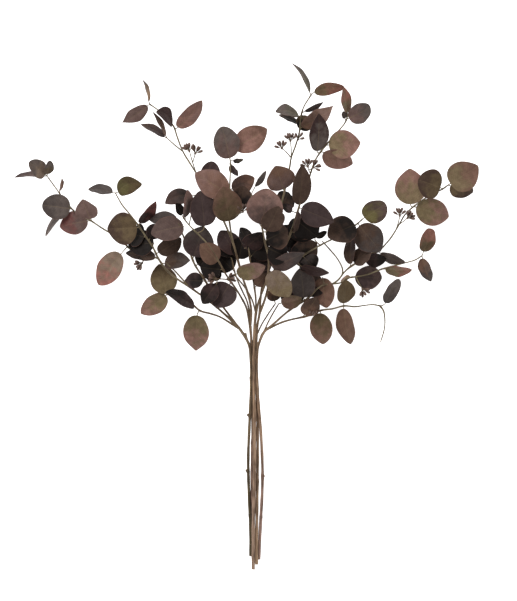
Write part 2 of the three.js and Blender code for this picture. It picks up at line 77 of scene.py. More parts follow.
class Tone(Enum):
    """Leaf and bark colours, as display values from 0 to 255."""

    # near-black leaf tone: painted shade, for the filler leaves deep in the crown where it lies in shade
    PAINTED_SHADE = (26, 20, 17)
    MAROON = (54, 38, 36)
    DARK_PLUM = (64, 51, 50)
    UMBER = (70, 54, 45)
    DARK_GREY = (70, 62, 59)
    PLUM = (88, 71, 66)
    GREY = (94, 84, 79)
    GREY_GREEN = (90, 86, 73)
    BROWN = (106, 81, 67)
    WINE = (106, 66, 62)
    RUST = (134, 92, 80)
    RED_BROWN = (120, 91, 78)
    BROWN_OLIVE = (92, 77, 56)
    MAUVE_GREY = (110, 89, 83)
    MAUVE = (124, 97, 89)
    ROSE = (140, 106, 95)
    CORAL = (144, 98, 88)
    ROSE_GREY = (146, 119, 108)
    OLIVE = (112, 98, 72)
    MOSS = (104, 96, 62)
    MUSHROOM = (126, 109, 94)
    LIGHT_OLIVE = (120, 104, 79)
    TAN = (142, 116, 92)
    BARK = (130, 106, 84)
    PALE_BARK = (134, 111, 94)
    DARK_BARK = (104, 88, 68)
    MOSSY_BARK = (72, 62, 42)
    ROSY_BARK = (128, 103, 92)
    TWIG = (94, 78, 59)
    SHOOT = (106, 96, 74)
    CAPSULE = (84, 62, 52)
    BLOOM = (134, 112, 102)

    def linear(self, shade: float = 1.0) -> Colour:
        """Gives the tone as linear light, by the standard curve of screens.

        Args:
            shade: factor on the linear values.

        Returns:
            The red, green and blue values.
        """
        shares = [value / 255 for value in self.value]
        red, green, blue = (
            (share / 12.92 if share <= 0.04045 else ((share + 0.055) / 1.055) ** 2.4) * shade
            for share in shares
        )
        return red, green, blue


class Leaf(NamedTuple):
    """One leaf: ends, tilt, colours at base and tip, bow to its right, narrowing of its tip."""

    base_x: float
    base_y: float
    tip_x: float
    tip_y: float
    rise: float
    width: float
    roll: float
    tone: Tone
    flush: Tone
    bow: float = 0.0
    narrowing: float = 0.7


class Cluster(NamedTuple):
    """A knot of seed capsules: where it sits, the way that it points, and how many it holds."""

    place: Place
    towards: Place
    count: int


class Twig(NamedTuple):
    """A stem or twig: its radius at both ends and the points that it runs through."""

    first_radius: float
    last_radius: float
    route: list[Place]


@dataclass(frozen=True)
class LeafShape:
    """Sizes of all leaves, in millimetres or as shares of the blade, and the ranges of chance."""

    thickness: float = 0.5
    edge_thinning: float = 0.4
    base_narrowing: float = 0.5
    widest_power: float = 0.85
    tip_half_width: float = 0.12
    cup: float = 0.05
    fold: float = 0.07
    arch: float = 0.05
    wave: float = 0.05
    groove_depth: float = 0.3
    groove_width: float = 0.9
    full_groove: float = 3.0
    rib_depth: float = 0.5
    stalk_radius: float = 0.62
    stalk_base: float = 1.25
    stalk_taper: float = 0.5
    shortest_stalk: float = 3.5
    stalk_rings: int = 6
    blade_rings: int = 24
    vein_gap: float = 3.4
    vein_slant: float = 0.75
    vein_curve: float = 0.012
    shades: Span = (0.9, 1.12)
    twists: Span = (-7.0, 7.0)
    waves: Span = (1.2, 2.4)
    outline_changes: Span = (-0.06, 0.05)
    across: tuple[float, ...] = (
        -1.0, -0.94, -0.78, -0.55, -0.3, -0.09, 0.0, 0.09, 0.3, 0.55, 0.78, 0.94, 1.0,
    )


@dataclass(frozen=True)
class CapsuleShape:
    """Sizes of the seed capsules, in millimetres. A profile gives distances from the root and radii."""

    profile: Profile = (
        (0.6, 0.5), (3.0, 0.5), (4.2, 0.85), (5.6, 1.35), (7.4, 1.65), (9.0, 1.6),
        (9.9, 1.25), (10.2, 0.9), (10.0, 0.6), (10.8, 0.25),
    )
    sides: int = 12
    knuckle: float = 1.5
    knuckle_steps: int = 6
    knuckle_end: float = 0.1
    fan: float = 0.85
    tilt: float = 0.3
    jitter: float = 0.12

    def knuckle_profile(self) -> Profile:
        """Gives the profile of the round knuckle that the capsules grow from."""
        angles = [math.pi * step / self.knuckle_steps for step in range(self.knuckle_steps + 1)]
        return tuple(
            (self.knuckle * (1.0 - math.cos(angle)), max(self.knuckle * math.sin(angle), self.knuckle_end))
            for angle in angles
        )


@dataclass(frozen=True)
class StemShape:
    """Sizes of all stems and twigs, in millimetres. Each span is where the bark's colour changes."""

    step: float = 3.2
    thick_sides: int = 18
    thin_sides: int = 10
    thin_radius: float = 1.25
    tip_shrink: float = 0.6
    node_swell: float = 0.35
    node_length: float = 3.0
    waver: float = 0.06
    waver_rate: float = 0.21
    young_radii: Span = (1.9, 1.2)
    crown_span: Span = (-75.0, -15.0)
    shoot_span: Span = (60.0, 120.0)
    foot_span: Span = (-230.0, -90.0)


class MeshDraft:
    """Points, faces and their attributes, gathered before they become one closed mesh piece."""

    def __init__(self) -> None:
        """Starts with nothing in it."""
        self.points: list[Vector] = []
        self.faces: list[list[int]] = []
        self.point_values: dict[str, list[tuple[float, ...]]] = {}
        self.face_marks: list[float] = []

    def add_points(self, points: list[Vector], **values: list[tuple[float, ...]]) -> list[int]:
        """Adds points with one value of each attribute for every point.

        Args:
            points: places in millimetres.
            values: attribute names with their values.

        Returns:
            The indices of the new points.
        """
        first = len(self.points)
        self.points.extend(points)
        for name, items in values.items():
            self.point_values.setdefault(name, []).extend(items)
        return list(range(first, len(self.points)))

    def add_face(self, corners: list[int], mark: float) -> None:
        """Adds a face, counterclockwise from outside, with its mark."""
        self.faces.append(corners)
        self.face_marks.append(mark)

    def add_loft(
        self,
        rings: list[list[int]],
        marks: list[float] | None = None,
        end_marks: tuple[float, float] = (0.0, 0.0),
    ) -> None:
        """Joins rings to a closed tube. Each runs clockwise, seen towards the next.

        Args:
            rings: indices of the points of each ring.
            marks: face mark for each side, or none.
            end_marks: face marks of the first and the last end.
        """
        count = len(rings[0])
        sides = marks or [0.0] * count
        for here, there in zip(rings, rings[1:]):
            for side in range(count):
                after = (side + 1) % count
                self.add_face([here[side], here[after], there[after], there[side]], sides[side])
        self.add_face(rings[0][::-1], end_marks[0])
        self.add_face(rings[-1], end_marks[1])

    def to_piece(self, name: str, material: Material, mark_name: str = "") -> bpy.types.Object:
        """Makes the piece.

        Args:
            name: name of the piece.
            material: its only material.
            mark_name: name of the face attribute, if the material reads it.

        Returns:
            The new object, linked to the scene.
        """
        mesh = bpy.data.meshes.new(name)
        mesh.from_pydata([point * MM for point in self.points], [], self.faces)
        for key, items in self.point_values.items():
            kind, part = ("FLOAT_COLOR", "color") if len(items[0]) == 4 else ("FLOAT_VECTOR", "vector")
            layer = mesh.attributes.new(key, kind, "POINT")
            layer.data.foreach_set(part, [value for item in items for value in item])
        if mark_name:
            layer = mesh.attributes.new(mark_name, "FLOAT", "FACE")
            layer.data.foreach_set("value", self.face_marks)
        mesh.polygons.foreach_set("use_smooth", [True] * len(self.faces))
        mesh.update()
        mesh.set_sharp_from_angle(angle=SHARP_ANGLE)
        mesh.materials.append(material)
        piece = bpy.data.objects.new(name, mesh)
        bpy.context.scene.collection.objects.link(piece)
        return piece


def smooth_route(route: list[Place], step: float) -> list[Vector]:
    """Runs a smooth curve through the points of a route.

    Args:
        route: points in millimetres.
        step: spacing of the result.

    Returns:
        Points along the curve, both ends included.
    """
    points = [Vector(point) for point in route]
    points = [points[0] * 2 - points[1], *points, points[-1] * 2 - points[-2]]
    curve = []
    for before, start, end, after in zip(points, points[1:], points[2:], points[3:]):
        count = max(2, round((end - start).length / step))
        bend = 2 * before - 5 * start + 4 * end - after
        twist = 3 * start - before - 3 * end + after
        for index in range(count):
            share = index / count
            curve.append(0.5 * (2 * start + (end - before) * share + bend * share**2 + twist * share**3))
    return [*curve, points[-2]]


def nearest_on_twigs(twigs: list[Twig], x: float, y: float) -> Vector:
    """Finds the point of the twigs that lies nearest to a place as seen from above.

    Args:
        twigs: the twigs to look along.
        x: place from left to right.
        y: place from the cut ends to the tips.

    Returns:
        The point, in millimetres.
    """
    best = Vector()
    best_distance = math.inf
    for twig in twigs:
        for first, last in zip(twig.route, twig.route[1:]):
            start, span = Vector(first), Vector(last) - Vector(first)
            share = ((x - start.x) * span.x + (y - start.y) * span.y) / (span.x**2 + span.y**2)
            point = start + span * min(max(share, 0.0), 1.0)
            distance = math.hypot(point.x - x, point.y - y)
            if distance < best_distance:
                best, best_distance = point, distance
    return best


def ring_points(centre: Vector, side: Vector, normal: Vector, radius: float, count: int) -> list[Vector]:
    """Places a round ring, clockwise as seen along the tube.

    Args:
        centre: middle of the ring.
        side: unit vector to the right.
        normal: unit vector upwards.
        radius: in millimetres.
        count: how many points.

    Returns:
        The points.
    """
    angles = [math.tau * (index + 0.5) / count for index in range(count)]
    return [
        centre - side * (radius * math.cos(angle)) + normal * (radius * math.sin(angle))
        for angle in angles
    ]


class Graph:
    """Short calls that add and join the nodes of a material or a node group."""

    def __init__(self, tree: Tree) -> None:
        """Empties the tree and keeps it to be filled."""
        self.tree = tree
        self.tree.nodes.clear()

    def add(
        self, kind: str, inputs: dict[str | int, object] | None = None, **settings: object
    ) -> bpy.types.Node:
        """Adds a node.

        Args:
            kind: type name of the node.
            inputs: what its inputs get, by name or number.
            settings: attributes to set on it.

        Returns:
            The node.
        """
        node = self.tree.nodes.new(kind)
        for name, value in settings.items():
            setattr(node, name, value)
        for name, value in (inputs or {}).items():
            self.feed(node.inputs[name], value)
        return node

    def feed(self, socket: Socket, value: object) -> None:
        """Joins a socket to another one, or sets its own value.

        Args:
            socket: the input.
            value: an output socket, a number, or a colour.
        """
        if isinstance(value, Socket):
            self.tree.links.new(value, socket)
        elif isinstance(value, tuple):
            socket.default_value = (*value, 1.0)
        else:
            socket.default_value = value

    def maths(self, operation: str, *values: object) -> Socket:
        """Adds a Math node and gives its result."""
        return self.add("ShaderNodeMath", dict(enumerate(values)), operation=operation).outputs[0]

    def times(self, first: object, second: object) -> Socket:
        """Multiplies two values."""
        return self.maths("MULTIPLY", first, second)

    def times_add(self, value: object, factor: object, more: object) -> Socket:
        """Multiplies a value by a factor and adds more to it."""
        return self.maths("MULTIPLY_ADD", value, factor, more)

    def rest(self, share: object) -> Socket:
        """Gives what a share leaves of 1."""
        return self.maths("SUBTRACT", 1.0, share)

    def step(self, value: object, low: float, high: float) -> Socket:
        """Turns a value into a soft mask, from 0 at the low end to 1 at the high one."""
        ends = {"Value": value, "From Min": low, "From Max": high}
        return self.add("ShaderNodeMapRange", ends, interpolation_type="SMOOTHSTEP").outputs["Result"]

    def blend(self, factor: object, first: object, second: object, how: str = "MIX") -> Socket:
        """Mixes two colours.

        Args:
            factor: share of the second.
            first: a colour or a socket.
            second: a colour or a socket.
            how: blend type.

        Returns:
            The mixed colour's socket.
        """
        sides = {"Factor": factor, 6: first, 7: second}
        return self.add("ShaderNodeMix", sides, data_type="RGBA", blend_type=how).outputs[2]

    def tint(self, colour: Socket, factors: Colour) -> Socket:
        """Multiplies a colour, channel by channel."""
        return self.blend(1.0, colour, factors, "MULTIPLY")

    def noise(self, place: object, scale: object, detail: float, seed: object) -> Socket:
        """Adds a noise, whose seed shifts its pattern."""
        inputs = {"Vector": place, "Scale": scale, "Detail": detail, "W": seed}
        return self.add("ShaderNodeTexNoise", inputs, noise_dimensions="4D").outputs["Fac"]

    def attribute(self, name: str) -> bpy.types.NodeOutputs:
        """Reads a mesh attribute."""
        return self.add("ShaderNodeAttribute", attribute_name=name).outputs

    def parts(self, vector: Socket) -> bpy.types.NodeOutputs:
        """Splits a vector into its three values."""
        return self.add("ShaderNodeSeparateXYZ", {0: vector}).outputs


class GroupGraph(Graph):
    """The nodes of a shader node group, with the sockets that it reads and those that it feeds."""

    def __init__(self, name: str, inputs: dict[str, str], outputs: tuple[str, ...]) -> None:
        """Starts the group.

        Args:
            name: name of the group.
            inputs: input names with their kinds, Vector or Float.
            outputs: names of its outputs, which are numbers.
        """
        super().__init__(bpy.data.node_groups.new(name, "ShaderNodeTree"))
        for sockets, way in ((inputs, "INPUT"), (dict.fromkeys(outputs, "Float"), "OUTPUT")):
            for label, kind in sockets.items():
                self.tree.interface.new_socket(label, in_out=way, socket_type=f"NodeSocket{kind}")
        self.given = self.add("NodeGroupInput").outputs

    def close(self, results: dict[str, Socket]) -> Tree:
        """Feeds the outputs and gives the finished group."""
        self.add("NodeGroupOutput", results)
        return self.tree


@dataclass(frozen=True)
class Mottle:
    """The blotches and the fine grain that leaves, bark and capsules share."""

    blotch_detail: float = 2.0
    grain_detail: float = 3.0
    edges: Span = (0.3, 0.7)

    def group(self) -> Tree:
        """Builds the group, with Blotch and Grain from 0 to 1."""
        inputs = {"Place": "Vector", "Blotch Scale": "Float", "Grain Scale": "Float", "Seed": "Float"}
        graph = GroupGraph("mottle", inputs, ("Blotch", "Grain"))
        place, blotch_scale, grain_scale, seed = (graph.given[name] for name in inputs)
        blotch = graph.noise(place, blotch_scale, self.blotch_detail, seed)
        grain = graph.noise(place, grain_scale, self.grain_detail, seed)
        masks = {"Blotch": graph.step(blotch, *self.edges), "Grain": graph.step(grain, *self.edges)}
        return graph.close(masks)


@dataclass(frozen=True)
class Veins:
    """The midrib, side veins and fine net of a leaf, in millimetres or as shares of the blade."""

    midrib_half: float = 0.75
    midrib_taper: float = 0.55
    midrib_edges: Span = (-0.25, 0.25)
    wander_scale: float = 0.35
    wander_detail: float = 1.0
    wander: float = 0.7
    vein_edges: Span = (0.4, 0.5)
    fade_edges: Span = (0.7, 0.97)
    net_scale: float = 0.55
    net_edges: Span = (0.02, 0.12)
    net_height: float = 0.35

    def group(self) -> Tree:
        """Builds the group.

        Returns:
            The group, with Midrib, Veins, Net and Height from 0 to 1.
        """
        inputs = {"Place": "Vector", "Share": "Vector"}
        graph = GroupGraph("leaf_veins", inputs, ("Midrib", "Veins", "Net", "Height"))
        place = graph.given["Place"]
        across, _, phase = graph.parts(place)
        edge, along, seed = graph.parts(graph.given["Share"])
        half_width = graph.times_add(along, -self.midrib_taper, self.midrib_half)
        inside = graph.maths("SUBTRACT", half_width, graph.maths("ABSOLUTE", across))
        midrib = graph.step(inside, *self.midrib_edges)
        wander = graph.noise(place, self.wander_scale, self.wander_detail, seed)
        wandering = graph.times_add(wander, self.wander, phase)
        wave = graph.maths("ABSOLUTE", graph.maths("SUBTRACT", graph.maths("FRACT", wandering), 0.5))
        fade = graph.rest(graph.step(graph.maths("ABSOLUTE", edge), *self.fade_edges))
        veins = graph.times(graph.step(wave, *self.vein_edges), fade)
        cells = graph.add(
            "ShaderNodeTexVoronoi", {"Vector": place, "Scale": self.net_scale}, feature="DISTANCE_TO_EDGE",
        )
        net = graph.rest(graph.step(cells.outputs["Distance"], *self.net_edges))
        ribs = graph.maths("MAXIMUM", midrib, veins)
        height = graph.maths("MAXIMUM", ribs, graph.times(net, self.net_height))
        return graph.close({"Midrib": midrib, "Veins": veins, "Net": net, "Height": height})


@dataclass(frozen=True)
class Surface:
    """How a finish is mottled, roughened and raised. The bump's depth is in millimetres."""

    blotch_scale: float
    grain_scale: float
    roughness: float
    roughness_spread: float
    specular: float
    bump_depth: float
    bump_strength: float = 0.6


class MaterialGraph(Graph):
    """The nodes of one material, from the attributes that it reads to its output."""

    def __init__(self, name: str) -> None:
        """Starts the material of that name."""
        self.material = bpy.data.materials.new(name)
        self.material.use_nodes = True
        super().__init__(self.material.node_tree)

    def mottle(self, group: Tree, surface: Surface, place: Socket, seed: object) -> tuple[Socket, Socket]:
        """Reads the blotches and the grain.

        Args:
            group: the group that makes them.
            surface: their scales.
            place: where they are read.
            seed: shifts their pattern.

        Returns:
            The sockets of blotches and grain.
        """
        scales = {"Blotch Scale": surface.blotch_scale, "Grain Scale": surface.grain_scale}
        spots = self.add("ShaderNodeGroup", {"Place": place, "Seed": seed, **scales}, node_tree=group)
        return spots.outputs["Blotch"], spots.outputs["Grain"]

    def close(self, **shader_inputs: object) -> Material:
        """Adds shader and output, and gives the finished material.

        Args:
            shader_inputs: what the shader's inputs get, with _ for each space of their names.

        Returns:
            The material.
        """
        inputs = {name.replace("_", " "): value for name, value in shader_inputs.items()}
        shader = self.add("ShaderNodeBsdfPrincipled", inputs)
        self.add("ShaderNodeOutputMaterial", {"Surface": shader.outputs[0]})
        return self.material

    def finish(self, surface: Surface, colour: Socket, height: Socket, spots: Socket) -> Material:
        """Ends a mottled and raised material.

        Args:
            surface: its roughness, gloss and depth.
            colour: its colour.
            height: what raises it, from 0 to 1.
            spots: where it is rougher.

        Returns:
            The material.
        """
        depth = {"Distance": surface.bump_depth * MM, "Strength": surface.bump_strength}
        bump = self.add("ShaderNodeBump", {"Height": height, **depth})
        return self.close(
            Base_Color=colour,
            Roughness=self.times_add(spots, surface.roughness_spread, surface.roughness),
            Specular_IOR_Level=surface.specular,
            Normal=bump.outputs["Normal"],
        )


@dataclass(frozen=True)
class LeafFinish:
    """Dull velvety leaf with a pale midrib, a red margin and a paler underside."""

    surface: Surface = Surface(0.11, 1.6, 0.62, 0.12, specular=0.14, bump_depth=0.25)
    blotch_reach: float = 0.5
    edge_reach: float = 0.3
    edge_power: float = 3.0
    flush_edges: Span = (0.45, 1.2)
    cloud_scale: float = 0.16
    cloud_detail: float = 3.0
    cloud_shift: float = 7.0
    cloud_edges: Span = (0.35, 0.65)
    cloud_tint: Colour = (0.62, 0.58, 0.58)
    cloud_share: float = 0.6
    grain_tint: Colour = (0.66, 0.64, 0.64)
    grain_share: float = 0.5
    vein_tint: Colour = (1.7, 1.6, 1.5)
    vein_share: float = 0.4
    net_share: float = 0.12
    rib_tone: Tone = Tone.LIGHT_OLIVE
    rib_edges: Span = (0.02, 0.14)
    rib_share: float = 0.3
    least_rib_share: float = 0.08
    rim_edges: Span = (0.92, 1.0)
    rim_share: float = 0.25
    rim_tone: Tone = Tone.RUST
    rim_shade: float = 0.8
    under_tone: Tone = Tone.MAUVE_GREY
    under_share: float = 0.4
    vein_height: float = 0.5
    grain_height: float = 0.12

    def material(self, mottle: Tree, veins: Tree) -> Material:
        """Builds the material.

        Args:
            mottle: group of blotches and grain.
            veins: group of the veins.

        Returns:
            The material.
        """
        graph = MaterialGraph("velvety_leaf")
        place = graph.attribute("leaf_place")["Vector"]
        share = graph.attribute("leaf_share")["Vector"]
        tone = graph.attribute("leaf_tone")["Color"]
        edge, along, seed = graph.parts(share)
        edge = graph.maths("ABSOLUTE", edge)
        vein = graph.add("ShaderNodeGroup", {"Place": place, "Share": share}, node_tree=veins).outputs
        blotch, grain = graph.mottle(mottle, self.surface, place, seed)
        reach = graph.times_add(blotch, self.blotch_reach, along)
        reach = graph.times_add(graph.maths("POWER", edge, self.edge_power), self.edge_reach, reach)
        flush = graph.attribute("leaf_flush")["Color"]
        colour = graph.blend(graph.step(reach, *self.flush_edges), tone, flush)
        shifted = graph.maths("ADD", seed, self.cloud_shift)
        cloud = graph.noise(place, self.cloud_scale, self.cloud_detail, shifted)
        cloud = graph.times(graph.step(cloud, *self.cloud_edges), self.cloud_share)
        colour = graph.blend(cloud, colour, graph.tint(colour, self.cloud_tint))
        pits = graph.times(graph.rest(grain), self.grain_share)
        colour = graph.blend(pits, colour, graph.tint(colour, self.grain_tint))
        fine = graph.maths(
            "MAXIMUM", graph.times(vein["Veins"], self.vein_share), graph.times(vein["Net"], self.net_share),
        )
        colour = graph.blend(fine, colour, graph.tint(colour, self.vein_tint))
        colour = self.edged(graph, colour, tone, vein["Midrib"], edge)
        height = graph.times_add(grain, self.grain_height, graph.times(vein["Height"], self.vein_height))
        return graph.finish(self.surface, colour, height, blotch)

    def edged(
        self, graph: MaterialGraph, colour: Socket, tone: Socket, midrib: Socket, edge: Socket
    ) -> Socket:
        """Colours midrib, margin and underside.

        Args:
            graph: the material's nodes.
            colour: colour of the blade.
            tone: the leaf's own tone, as a dark leaf has a darker midrib.
            midrib: where the midrib is.
            edge: 0 at the middle of the blade and 1 at its margin.

        Returns:
            The leaf's colour.
        """
        brightness = graph.add("ShaderNodeRGBToBW", {0: tone}).outputs[0]
        rib = graph.times_add(graph.step(brightness, *self.rib_edges), self.rib_share, self.least_rib_share)
        colour = graph.blend(graph.times(midrib, rib), colour, self.rib_tone.linear())
        rim = graph.times(graph.step(edge, *self.rim_edges), self.rim_share)
        colour = graph.blend(rim, colour, self.rim_tone.linear(self.rim_shade))
        under = graph.times(graph.attribute("leaf_under")["Fac"], self.under_share)
        return graph.blend(under, colour, self.under_tone.linear())


@dataclass(frozen=True)
class BarkFinish:
    """Brown bark with dark streaks, darker nodes and pale cut wood."""

    surface: Surface = Surface(0.7, 2.4, 0.68, 0.15, specular=0.3, bump_depth=0.35, bump_strength=0.7)
    streak_stretch: float = 0.09
    seed: float = 1.0
    dark_tint: Colour = (0.36, 0.31, 0.28)
    light_tint: Colour = (1.75, 1.75, 1.75)
    grain_share: float = 0.45
    node_share: float = 0.55
    grain_height: float = 0.5
    cut_tone: Tone = Tone.TAN

    def material(self, mottle: Tree) -> Material:
        """Builds the material.

        Args:
            mottle: group of blotches and grain.

        Returns:
            The material.
        """
        graph = MaterialGraph("streaked_bark")
        round_x, round_y, along = graph.parts(graph.attribute("bark_place")["Vector"])
        tone = graph.attribute("bark_tone")
        streaks = {0: round_x, 1: round_y, 2: graph.times(along, self.streak_stretch)}
        place = graph.add("ShaderNodeCombineXYZ", streaks).outputs[0]
        blotch, grain = graph.mottle(mottle, self.surface, place, self.seed)
        dark = graph.tint(tone["Color"], self.dark_tint)
        colour = graph.blend(blotch, dark, graph.tint(tone["Color"], self.light_tint))
        colour = graph.blend(graph.times(grain, self.grain_share), colour, tone["Color"])
        colour = graph.blend(graph.times(tone["Alpha"], self.node_share), colour, dark)
        colour = graph.blend(graph.attribute("bark_cut")["Fac"], colour, self.cut_tone.linear())
        height = graph.times_add(grain, self.grain_height, blotch)
        return graph.finish(self.surface, colour, height, grain)


@dataclass(frozen=True)
class CapsuleFinish:
    """Dark capsule with a dusty bloom, on an olive stalk."""

    surface: Surface = Surface(600.0, 2500.0, 0.5, 0.2, specular=0.35, bump_depth=0.15)
    stalk_tone: Tone = Tone.BROWN_OLIVE
    body_tone: Tone = Tone.CAPSULE
    body_edges: Span = (0.25, 0.5)
    bloom_tone: Tone = Tone.BLOOM
    bloom_edges: Span = (0.4, 0.75)
    bloom_share: float = 0.4
    ribs: float = 5.0
    rib_height: float = 0.4

    def material(self, mottle: Tree) -> Material:
        """Builds the material.

        Args:
            mottle: group of blotches and grain.

        Returns:
            The material.
        """
        graph = MaterialGraph("dusty_capsule")
        along, angle, seed = graph.parts(graph.attribute("capsule_share")["Vector"])
        place = graph.add("ShaderNodeTexCoord").outputs["Object"]
        blotch, grain = graph.mottle(mottle, self.surface, place, seed)
        body = graph.step(along, *self.body_edges)
        colour = graph.blend(body, self.stalk_tone.linear(), self.body_tone.linear())
        bloom = graph.times(blotch, graph.step(along, *self.bloom_edges))
        colour = graph.blend(graph.times(bloom, self.bloom_share), colour, self.bloom_tone.linear())
        ribs = graph.maths("SINE", graph.times(angle, self.ribs))
        height = graph.times_add(ribs, self.rib_height, grain)
        return graph.finish(self.surface, colour, height, grain)


@dataclass(frozen=True)
class LeafChance:
    """What chance gives one leaf: its seed, shade, twist, wavy edges and outline."""

    seed: float
    shade: float
    twist: float
    waves: tuple[tuple[float, float], ...]
    power: float
    steepness: float

    @classmethod
    def drawn(cls, shape: LeafShape, draw: random.Random) -> "LeafChance":
        """Draws the values, always in the same order.

        Args:
            shape: the ranges that they come from.
            draw: source of random numbers.

        Returns:
            The values.
        """
        return cls(
            seed=draw.uniform(*SEEDS),
            shade=draw.uniform(*shape.shades),
            twist=math.radians(draw.uniform(*shape.twists)),
            waves=tuple((draw.uniform(*shape.waves), draw.uniform(0.0, math.tau)) for _ in range(2)),
            power=draw.uniform(*shape.outline_changes),
            steepness=draw.uniform(*shape.outline_changes),
        )


class LeafBody:
    """One leaf with its stalk, as one closed loft from the twig to the tip."""

    def __init__(self, leaf: Leaf, joint: Vector, shape: LeafShape, chance: LeafChance) -> None:
        """Works out the ends and the axes of the blade.

        Args:
            leaf: its place, size and colours.
            joint: where its stalk leaves the twig.
            shape: sizes that all leaves share.
            chance: what makes it differ from the others.
        """
        self.leaf, self.joint, self.shape, self.chance = leaf, joint, shape, chance
        tip = Vector((leaf.tip_x, leaf.tip_y, joint.z + leaf.rise))
        stalk = math.hypot(leaf.base_x - joint.x, leaf.base_y - joint.y)
        reach = math.hypot(leaf.tip_x - leaf.base_x, leaf.tip_y - leaf.base_y)
        self.base = Vector((leaf.base_x, leaf.base_y, joint.z + leaf.rise * stalk / (stalk + reach)))
        if stalk < shape.shortest_stalk:
            self.base = joint.lerp(tip, shape.shortest_stalk / (tip - joint).length)
        self.length = (tip - self.base).length
        self.along = (tip - self.base).normalized()
        level = self.along.cross(UP).normalized()
        self.side = Matrix.Rotation(math.radians(leaf.roll), 3, self.along) @ level
        self.normal = self.side.cross(self.along)

    def add_to(self, draft: MeshDraft) -> None:
        """Adds the leaf to a draft, with its underside marked."""
        shape = self.shape
        rings = [self.stalk_ring(draft, index / shape.stalk_rings) for index in range(shape.stalk_rings)]
        turns = [math.pi * index / shape.blade_rings for index in range(shape.blade_rings + 1)]
        rings += [self.blade_ring(draft, 0.5 - 0.5 * math.cos(turn)) for turn in turns]
        width = len(shape.across)
        draft.add_loft(rings, marks=[0.0] * width + [1.0] * width)

    def stalk_ring(self, draft: MeshDraft, share: float) -> list[int]:
        """Adds one ring of the stalk, which curves from the twig into the blade.

        Args:
            draft: where it goes.
            share: 0 at the twig and 1 at the blade.

        Returns:
            The indices of its points.
        """
        shape, joint, base = self.shape, self.joint, self.base
        count = 2 * len(shape.across)
        bend = base - self.along * (0.5 * (base - joint).length)
        centre = joint * (1 - share) ** 2 + bend * (2 * share * (1 - share)) + base * share**2
        ahead = ((bend - joint) * (1 - share) + (base - bend) * share).normalized()
        normal = self.side.cross(ahead).normalized()
        radius = shape.stalk_radius * (shape.stalk_base - shape.stalk_taper * share)
        shoot = [(*Tone.SHOOT.linear(), 1.0)] * count
        return draft.add_points(
            ring_points(centre, ahead.cross(normal), normal, radius, count),
            leaf_place=[(0.0, 0.0, 0.5)] * count,
            leaf_share=[(0.0, 0.0, self.chance.seed)] * count,
            leaf_tone=shoot,
            leaf_flush=shoot,
        )

    def half_width(self, share: float) -> float:
        """Gives half the width of the blade.

        Args:
            share: 0 at its base and 1 at its tip.

        Returns:
            The distance from the middle to the margin.
        """
        shape, chance = self.shape, self.chance
        steepness = shape.base_narrowing + (self.leaf.narrowing - shape.base_narrowing) * share
        steepness += chance.steepness
        bulge = math.sin(math.pi * share ** (shape.widest_power + chance.power)) if share < 1 else 0.0
        outline = bulge**steepness if bulge > 0 else 0.0
        return max(0.5 * self.leaf.width * outline, shape.stalk_radius * (1.0 - share), shape.tip_half_width)

    def blade_ring(self, draft: MeshDraft, share: float) -> list[int]:
        """Adds one ring of the blade: its upper side from left to right, then its underside back.

        Args:
            draft: where it goes.
            share: 0 at the base of the blade and 1 at its tip.

        Returns:
            The indices of its points.
        """
        shape = self.shape
        turn = Matrix.Rotation(self.chance.twist * (share - 0.5), 3, self.along)
        side, normal = turn @ self.side, turn @ self.normal
        middle = 4.0 * share * (1.0 - share)
        run = self.length * share
        centre = self.base + self.along * run + self.normal * (shape.arch * self.length * middle)
        centre += self.side * (self.leaf.bow * middle)
        half = self.half_width(share)
        slim = min(1.0, half / shape.full_groove)
        upper, lower, places = [], [], []
        for reach in shape.across:
            off = reach * half
            dip = math.exp(-((off / shape.groove_width) ** 2)) * slim
            frequency, phase = self.chance.waves[reach > 0]
            lift = half * (shape.fold * abs(reach) + shape.cup * reach**2)
            lift += shape.wave * half * abs(reach) ** 3 * math.sin(math.tau * frequency * share + phase)
            layer = 0.5 * (1.0 - shape.edge_thinning * reach**4) * shape.thickness
            top = centre + side * off + normal * (lift + layer - shape.groove_depth * dip)
            top.z = max(top.z, shape.thickness)
            upper.append(top)
            under = centre + side * off + normal * (lift - layer - shape.rib_depth * (1.0 - share) * dip)
            under.z = max(under.z, FLOOR_GAP)
            lower.append(under)
            count = (run - shape.vein_slant * abs(off) - shape.vein_curve * off**2) / shape.vein_gap
            places.append((off, run, count))
        shares = [(reach, share, self.chance.seed) for reach in shape.across]
        width = 2 * len(shares)
        return draft.add_points(
            [*upper, *reversed(lower)],
            leaf_place=[*places, *reversed(places)],
            leaf_share=[*shares, *reversed(shares)],
            leaf_tone=[(*self.leaf.tone.linear(self.chance.shade), 1.0)] * width,
            leaf_flush=[(*self.leaf.flush.linear(), 1.0)] * width,
        )


